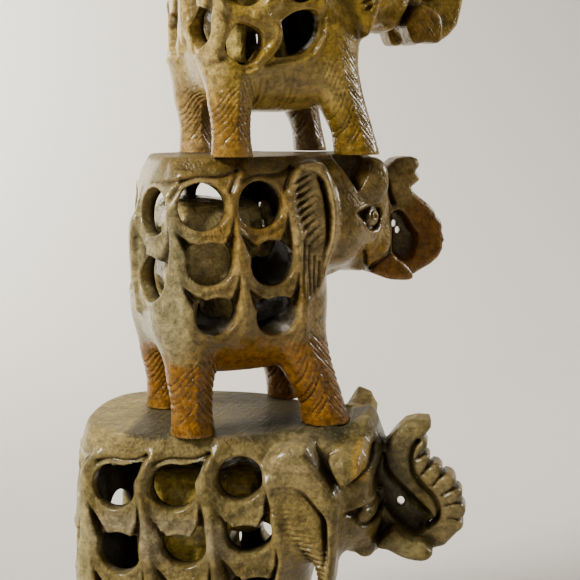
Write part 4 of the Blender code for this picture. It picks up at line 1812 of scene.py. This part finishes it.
class NodeBench:
    """Adds nodes and links to one node tree."""

    def __init__(self, tree: bpy.types.NodeTree) -> None:
        """Takes the tree."""
        self.tree = tree

    def add(self, kind: str, values: Optional[dict] = None, **settings: object) -> bpy.types.Node:
        """A new node.

        Args:
            kind: Its type name without the leading ShaderNode.
            values: What each named input gets.
            settings: Properties to set on it.

        Returns:
            The node.
        """
        node = self.tree.nodes.new("ShaderNode" + kind)
        for key, value in settings.items():
            setattr(node, key, value)
        self.feed_all(node, values or {})
        return node

    def feed_all(self, node: bpy.types.Node, values: dict) -> None:
        """Feeds each named input of a node."""
        for socket, value in values.items():
            self.feed(node.inputs[socket], value)

    def add_plain(self, kind: str) -> bpy.types.Node:
        """A new node whose type has no shader prefix."""
        return self.tree.nodes.new(kind)

    def group(self, tree: bpy.types.NodeTree, **values: object) -> bpy.types.Node:
        """A node that uses a group.

        Args:
            tree: The group.
            values: What each named input gets.

        Returns:
            The node.
        """
        node = self.add("Group")
        node.node_tree = tree
        self.feed_all(node, values)
        return node

    def attribute(self, name: str, output: str = "Fac") -> Socket:
        """What the mesh carries under a name."""
        return self.add("Attribute", attribute_name=name).outputs[output]

    def feed(self, target: Socket, value: object) -> None:
        """Links a socket to the target, or sets the target's own value.

        Args:
            target: The input socket.
            value: A socket, number or tuple.
        """
        if isinstance(value, Socket):
            self.tree.links.new(value, target)
        else:
            target.default_value = value

    def math(self, operation: str, *values: object, clamp: bool = False) -> Socket:
        """The result of a math node.

        Args:
            operation: Name of the operation.
            values: Its inputs in order.
            clamp: Whether the result stays within 0 and 1.

        Returns:
            The output socket.
        """
        node = self.add("Math", operation=operation, use_clamp=clamp)
        for socket, value in zip(node.inputs, values):
            self.feed(socket, value)
        return node.outputs[0]

    def times(self, first: object, second: object) -> Socket:
        """The product of two values."""
        return self.math("MULTIPLY", first, second)

    def vector_math(self, operation: str, *values: object) -> Socket:
        """The vector that a vector math node gives.

        Args:
            operation: Name of the operation.
            values: Its inputs in order.

        Returns:
            The output socket, the value's for operations that give a number.
        """
        node = self.add("VectorMath", operation=operation)
        for socket, value in zip(node.inputs, values):
            self.feed(socket, value)
        return node.outputs["Value" if operation in ("LENGTH", "DISTANCE", "DOT_PRODUCT") else "Vector"]

    def blend(self, share: object, first: object, second: object, way: str = "MIX") -> Socket:
        """The mix of two colours.

        Args:
            share: How much of the second.
            first: The first colour.
            second: The second colour.
            way: The blend type.

        Returns:
            The mixed colour.
        """
        node = self.add("Mix", data_type="RGBA", blend_type=way)
        self.feed(node.inputs["Factor"], share)
        self.feed(node.inputs[6], first)
        self.feed(node.inputs[7], second)
        return node.outputs[2]

    def grey(self, value: object) -> Socket:
        """The grey with a value in all its channels."""
        node = self.add("CombineColor")
        for socket in node.inputs:
            self.feed(socket, value)
        return node.outputs[0]

    def darker(self, colour: object, share: float) -> Socket:
        """The colour with only a share of its light."""
        return self.vector_math("MULTIPLY", colour, (share, share, share))

    def span(self, value: object, low: float, high: float) -> Socket:
        """A smooth step from 0 to 1 between two values.

        Args:
            value: What is read.
            low: Where the step starts.
            high: Where it ends.

        Returns:
            The step.
        """
        node = self.add("MapRange", interpolation_type="SMOOTHSTEP")
        self.feed(node.inputs[0], value)
        node.inputs[1].default_value = low
        node.inputs[2].default_value = high
        return node.outputs[0]


def named_group(name: str, inputs: dict[str, str], outputs: dict[str, str]) -> tuple[
        NodeBench, bpy.types.Node, bpy.types.Node]:
    """A new shader node group with its sockets.

    Args:
        name: The group's name.
        inputs: Socket type for each input name.
        outputs: Socket type for each output name.

    Returns:
        The bench for its tree, the input node and the output node.
    """
    tree = bpy.data.node_groups.new(name, "ShaderNodeTree")
    for way, sockets in (("INPUT", inputs), ("OUTPUT", outputs)):
        for socket, kind in sockets.items():
            tree.interface.new_socket(socket, in_out=way, socket_type="NodeSocket" + kind)
    bench = NodeBench(tree)
    return bench, bench.add_plain("NodeGroupInput"), bench.add_plain("NodeGroupOutput")


class StoneEffects:
    """The node groups that the stone finishes share."""

    def __init__(self) -> None:
        """Builds each group once."""
        self.patch = self._patch()
        self.mottle = self._mottle()
        self.tool_marks = self._tool_marks()
        self.wear_and_shade = self._wear_and_shade()

    @staticmethod
    def _patch() -> bpy.types.NodeTree:
        """A soft-edged ellipsoid mask with a wandering border."""
        inputs = {"Centre": "Vector", "Spread": "Vector", "Softness": "Float", "Wander": "Float"}
        bench, given, made = named_group("stone_patch", inputs, {"Mask": "Float"})
        place = bench.attribute("place", "Vector")
        noise = bench.add("TexNoise", {"Scale": 60.0, "Detail": 4.0, "Vector": place})
        away = bench.vector_math("DIVIDE", bench.vector_math("SUBTRACT", place, given.outputs["Centre"]),
                                 given.outputs["Spread"])
        length = bench.vector_math("LENGTH", away)
        drift = bench.times(bench.math("SUBTRACT", noise.outputs[0], 0.5), given.outputs["Wander"])
        reached = bench.math("SUBTRACT", bench.math("ADD", length, drift), 1.0)
        past = bench.math("DIVIDE", reached, given.outputs["Softness"])
        mask = bench.math("SUBTRACT", 0.5, past, clamp=True)
        bench.feed(made.inputs["Mask"], mask)
        return bench.tree

    @staticmethod
    def _noise(
        bench: NodeBench, place: object, scale: object, detail: float, distortion: float = 0.0
    ) -> Socket:
        """A noise texture's value.

        Args:
            bench: Where it is added.
            place: Its coordinates.
            scale: Its scale, a number or a socket.
            detail: Octaves.
            distortion: How twisted it is.

        Returns:
            The output socket.
        """
        values = {"Vector": place, "Scale": scale, "Detail": detail, "Roughness": 0.62,
                  "Distortion": distortion}
        return bench.add("TexNoise", values).outputs[0]

    def _mottle(self) -> bpy.types.NodeTree:
        """Clouds, grain, bedding streaks, veins and specks of the stone as masks."""
        outputs = dict.fromkeys(("Clouds", "Grain", "Streaks", "Veins", "Specks"), "Float")
        bench, given, made = named_group("stone_mottle", {"Scale": "Float"}, outputs)
        place, scale = bench.attribute("place", "Vector"), given.outputs["Scale"]
        clouds = self._noise(bench, place, scale, 5.0, 0.9)
        bench.feed(made.inputs["Clouds"], bench.span(clouds, 0.34, 0.66))
        grain = self._noise(bench, place, bench.times(scale, 9.0), 6.0, 0.5)
        bench.feed(made.inputs["Grain"], bench.span(grain, 0.30, 0.70))
        bedding = {"Vector": place, "Rotation": (0.25, 0.5, 0.3), "Scale": (0.16, 0.6, 1.0)}
        bed = bench.add("Mapping", bedding)
        streaks = self._noise(bench, bed.outputs[0], bench.times(scale, 8.0), 4.0, 0.6)
        bench.feed(made.inputs["Streaks"], bench.span(streaks, 0.40, 0.66))
        veins = self._noise(bench, bench.vector_math("MULTIPLY", place, (1.0, 1.0, 1.8)),
                            bench.times(scale, 0.8), 3.0, 1.4)
        ridge = bench.math("ABSOLUTE", bench.math("SUBTRACT", veins, 0.5))
        bench.feed(made.inputs["Veins"], bench.math("SUBTRACT", 1.0, bench.span(ridge, 0.0, 0.022)))
        specks = self._noise(bench, place, bench.times(scale, 30.0), 1.0)
        bench.feed(made.inputs["Specks"], bench.span(specks, 0.66, 0.76))
        return bench.tree

    def _tool_marks(self) -> bpy.types.NodeTree:
        """Height of file scratches and hand-worked unevenness, and where the scratches are."""
        outputs = dict.fromkeys(("Height", "Scratched"), "Float")
        bench, given, made = named_group("tool_marks", {"Scratches": "Float"}, outputs)
        place = bench.attribute("place", "Vector")
        total = bench.times(self._noise(bench, place, 260.0, 3.0), 1.6)
        scratched = None
        for turn, scale in (((0.0, 0.0, 1.35), 900.0), ((0.0, 0.85, 0.10), 1100.0)):
            drawn_out = {"Vector": place, "Rotation": turn, "Scale": (16.0, 1.0, 1.0)}
            turned = bench.add("Mapping", drawn_out, vector_type="TEXTURE")
            lines = self._noise(bench, turned.outputs[0], scale, 2.0)
            total = bench.math("ADD", total, bench.times(lines, given.outputs["Scratches"]))
            mask = bench.span(lines, 0.56, 0.72)
            scratched = mask if scratched is None else bench.math("MAXIMUM", scratched, mask)
        bench.feed(made.inputs["Height"], total)
        bench.feed(made.inputs["Scratched"], scratched)
        return bench.tree

    @staticmethod
    def _wear_and_shade() -> bpy.types.NodeTree:
        """Where wax and dust lie and shade is painted, in crevices and sunk places; where edges are rubbed
        pale; and the hollow's inside, painted dark as shade.
        """
        outputs = dict.fromkeys(("DirtAndShade", "Rubbed", "ShadedHollow"), "Float")
        bench, given, made = named_group("stone_wear_and_shade", {"Grain": "Float"}, outputs)
        crevice_shading = bench.times(bench.span(bench.attribute("crevice_shade"), 0.14, 0.66), 0.90)
        stain_and_shade_mask = bench.times(bench.attribute("grime_and_shade"), 0.82)
        grainy = bench.math("ADD", 0.15, given.outputs["Grain"])
        rubbed = bench.times(bench.span(bench.attribute("edge"), 0.40, 0.90), grainy)
        bench.feed_all(made, {"DirtAndShade": bench.math("MAXIMUM", crevice_shading, stain_and_shade_mask),
                              "Rubbed": bench.times(rubbed, 0.50), "ShadedHollow": bench.attribute("inside")})
        return bench.tree


class StoneDresser:
    """Makes the materials of the elephants."""

    SCRATCHES = 0.9
    WANDER = 0.5

    # Shares of the height between which the top starts to count as filed flat
    FILED_TOP = (0.975, 0.992)
    INNER_GLOSS = {"Coat Weight": 0.5, "Specular IOR Level": 0.15}
    LACQUER = {
        "Coat Roughness": 0.10, "Coat Tint": (1.0, 0.93, 0.74, 1.0), "Specular Tint": (1.0, 0.88, 0.66, 1.0),
    }

    def __init__(self, effects: StoneEffects) -> None:
        """Takes the shared groups."""
        self.effects = effects

    def material(self, name: str, finish: StoneFinish, height: float, inner: bool) -> bpy.types.Material:
        """The material of one elephant.

        Args:
            name: Name of the material.
            finish: Colours and gloss.
            height: The elephant's height in metres.
            inner: Whether it is for the small elephant inside.

        Returns:
            The material.
        """
        made = bpy.data.materials.new(name)
        made.use_nodes = True
        bench = NodeBench(made.node_tree)
        shader = made.node_tree.nodes["Principled BSDF"]
        mottle = bench.group(self.effects.mottle, Scale=finish.mottle_scale).outputs
        marks = bench.group(self.effects.tool_marks, Scratches=self.SCRATCHES).outputs
        # The inner elephant starts from its brightened colour, painted light for the dim hollow
        first, second = (finish.inner, finish.body) if inner else (finish.body, finish.pale)
        colour = bench.blend(bench.times(mottle["Clouds"], 0.5), (*first, 1.0), (*second, 1.0))
        if not inner:
            colour = self._patched(bench, colour, finish.patches, height)
        shade = bench.math("ADD", 0.50, bench.times(mottle["Grain"], 0.80))
        colour = bench.blend(1.0, colour, bench.grey(shade), "MULTIPLY")
        colour = bench.blend(bench.times(mottle["Streaks"], 0.42), colour, bench.darker(colour, 0.32))
        colour = bench.blend(bench.times(mottle["Veins"], 0.34), colour, (*finish.dark, 1.0))
        colour = bench.blend(bench.times(marks["Scratched"], 0.22), colour, (*finish.pale, 1.0))
        rough = bench.math("ADD", finish.roughness - 0.1, bench.times(mottle["Grain"], 0.24))
        if inner:
            bench.feed_all(shader, self.INNER_GLOSS)
        else:
            wear_and_shade = bench.group(self.effects.wear_and_shade, Grain=mottle["Grain"]).outputs
            # Wax, dust and painted shade in crevices and sunk places, rubbed pale edges, and the hollow's
            # inside painted near black as shade
            for mask, over in (("DirtAndShade", finish.dirt_and_shade), ("Rubbed", finish.pale), ("ShadedHollow", finish.hollow)):
                colour = bench.blend(wear_and_shade[mask], colour, (*over, 1.0))
            up = bench.vector_math("DOT_PRODUCT", bench.attribute("place", "Vector"), (0, 0, 1 / height))
            filed = bench.span(up, *self.FILED_TOP)
            dull = bench.math("MAXIMUM", wear_and_shade["ShadedHollow"], bench.times(filed, 0.85))
            shown = bench.math("SUBTRACT", 1.0, bench.times(dull, 0.92))
            coarse = bench.math("ADD", bench.times(wear_and_shade["ShadedHollow"], 0.6), bench.times(filed, 0.22))
            rough = bench.math("ADD", rough, coarse, clamp=True)
            bench.feed_all(shader, {"Specular IOR Level": 0.22,
                                    "Coat Weight": bench.times(shown, finish.coat)})
        colour = bench.blend(bench.times(mottle["Specks"], 0.55), colour, (*finish.dark, 1.0))
        bump = bench.add("Bump", {"Strength": 0.75, "Distance": 0.0005, "Height": marks["Height"]})
        bench.feed_all(shader, {**self.LACQUER, "Base Color": colour, "Roughness": rough,
                                "Normal": bump.outputs[0]})
        return made

    def _patched(self, bench: NodeBench, colour: Socket, patches: tuple[Patch, ...], height: float) -> Socket:
        """The colour with the finish's patches laid over it in order.

        Args:
            bench: The material's bench.
            colour: The colour so far.
            patches: The patches, in heights.
            height: The elephant's height in metres.

        Returns:
            The new colour.
        """
        for patch in patches:
            centre, spread = (tuple(value * height for value in way) for way in (patch.centre, patch.spread))
            mask = bench.group(self.effects.patch, Centre=centre, Spread=spread, Softness=patch.soft,
                               Wander=self.WANDER).outputs["Mask"]
            colour = bench.blend(bench.times(mask, patch.strength), colour, (*patch.colour, 1.0))
        return colour


@dataclass(frozen=True)
class Lamp:
    """A square soft light; its place and aim are to the right, forward and up, in metres."""

    name: str
    place: Point
    aim: Point
    side: float
    watts: float
    spread: float


class Studio:
    """A plain pale sweep, soft lights and the camera at the photo's angle."""

    # The camera, in pixels of the photo's frame and then in metres from the lowest elephant's middle
    FRAME, FOCAL, HORIZON = 580.0, 1200.0, 99.0
    ASIDE, BACK, EYE = 0.026, 0.369, 0.1948
    SENSOR = 36.0
    AZIMUTH = math.radians(8.0)
    PITCH = math.atan((FRAME / 2.0 - HORIZON) / FOCAL)

    # The sweep: where its floor starts, where it bends and how, and how wide and high it is
    FLOOR_START, BEND_START, BEND, BEND_STEPS = -1.6, 0.45, 0.45, 12
    HALF_WIDTH, WALL_TOP = 2.2, 2.0
    PAINT = {"Base Color": (0.63, 0.60, 0.535, 1.0), "Roughness": 0.9, "Specular IOR Level": 0.1}

    DAYLIGHT = (1.0, 0.98, 0.95)
    ROOM_LIGHT = {"Color": (1.0, 0.96, 0.89, 1.0), "Strength": 0.26}
    LAMPS = (
        Lamp("window", (-0.70, -0.45, 0.70), (0.0, 0.0, 0.13), 0.30, 2.20, 60.0),
        Lamp("rim", (0.75, 0.30, 0.40), (0.0, 0.0, 0.14), 0.20, 4.5, 180.0),
        Lamp("wall_wash", (-0.85, 0.35, 0.60), (-0.42, 0.90, 0.20), 0.5, 19.0, 130.0),
    )

    def __init__(self) -> None:
        """Works out the camera's ways."""
        self.right = Vector((math.cos(self.AZIMUTH), math.sin(self.AZIMUTH), 0.0))
        self.forward = Vector((-math.sin(self.AZIMUTH), math.cos(self.AZIMUTH), 0.0))

    def at(self, aside: float, forward: float, up: float) -> Vector:
        """A place given to the right, forward and up."""
        return self.right * aside + self.forward * forward + Vector((0.0, 0.0, up))

    def camera(self) -> None:
        """Places the camera."""
        data = bpy.data.cameras.new("photo_view")
        data.lens = self.FOCAL / self.FRAME * self.SENSOR
        data.sensor_width = self.SENSOR
        data.clip_start = 0.01
        made = bpy.data.objects.new("photo_view", data)
        made.location = Vector(LOWEST_STANCE) + self.at(self.ASIDE, -self.BACK, self.EYE)
        look = self.forward * math.cos(self.PITCH) - Vector((0.0, 0.0, math.sin(self.PITCH)))
        made.rotation_euler = look.to_track_quat("-Z", "Y").to_euler()
        bpy.context.scene.collection.objects.link(made)
        bpy.context.scene.camera = made

    def sweep(self) -> None:
        """Builds the floor that rises into a backdrop."""
        profile = [(self.FLOOR_START, 0.0), (self.BEND_START, 0.0)]
        for step in range(1, self.BEND_STEPS + 1):
            turn = math.pi / 2 * step / self.BEND_STEPS
            out, up = self.BEND * math.sin(turn), self.BEND - self.BEND * math.cos(turn)
            profile.append((self.BEND_START + out, up))
        profile.append((self.BEND_START + self.BEND, self.WALL_TOP))
        sides = (-self.HALF_WIDTH, self.HALF_WIDTH)
        vertices = [self.at(side, away, up) for away, up in profile for side in sides]
        rows = range(0, 2 * len(profile) - 2, 2)
        faces = [(row, row + 1, row + 3, row + 2) for row in rows]
        mesh = bpy.data.meshes.new("sweep")
        mesh.from_pydata(vertices, [], faces)
        mesh.polygons.foreach_set("use_smooth", [True] * len(faces))
        made = bpy.data.objects.new("sweep", mesh)
        material = bpy.data.materials.new("sweep_paint")
        material.use_nodes = True
        NodeBench(material.node_tree).feed_all(material.node_tree.nodes["Principled BSDF"], self.PAINT)
        mesh.materials.append(material)
        bpy.context.scene.collection.objects.link(made)

    def light(self, lamp: Lamp) -> None:
        """Adds a soft light.

        Args:
            lamp: What it is like.
        """
        data = bpy.data.lights.new(lamp.name, "AREA")
        data.size = lamp.side
        data.energy = lamp.watts
        data.color = self.DAYLIGHT
        data.spread = math.radians(lamp.spread)
        made = bpy.data.objects.new(lamp.name, data)
        made.location = self.at(*lamp.place)
        made.rotation_euler = (self.at(*lamp.aim) - made.location).to_track_quat("-Z", "Y").to_euler()
        bpy.context.scene.collection.objects.link(made)

    def room(self) -> None:
        """Lights the dim surroundings."""
        world = bpy.data.worlds.new("room")
        world.use_nodes = True
        NodeBench(world.node_tree).feed_all(world.node_tree.nodes["Background"], self.ROOM_LIGHT)
        bpy.context.scene.world = world

    def build(self) -> None:
        """Builds the whole studio."""
        self.sweep()
        for lamp in self.LAMPS:
            self.light(lamp)
        self.room()
        self.camera()


def main() -> None:
    """Builds the tower piece by piece, then the studio."""
    logging.basicConfig(level=logging.INFO, format="%(message)s")
    outer_cell, inner_cell = Fineness.FULL.value
    dresser = StoneDresser(StoneEffects())
    for figure in TOWER:
        pieces = (
            (ElephantCarver(figure, outer_cell).build(), False),
            (InnerElephant(figure, inner_cell).build(), True),
        )
        for piece, inner in pieces:
            piece.data.materials.clear()
            name = piece.name + "_finish"
            piece.data.materials.append(dresser.material(name, figure.finish, figure.height, inner))
            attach(piece, "root")
            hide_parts(figure.node)
            LOG.info("%s: %d faces", piece.name, len(piece.data.polygons))
    Studio().build()
    bpy.context.view_layer.update()


if __name__ == "__main__":
    main()
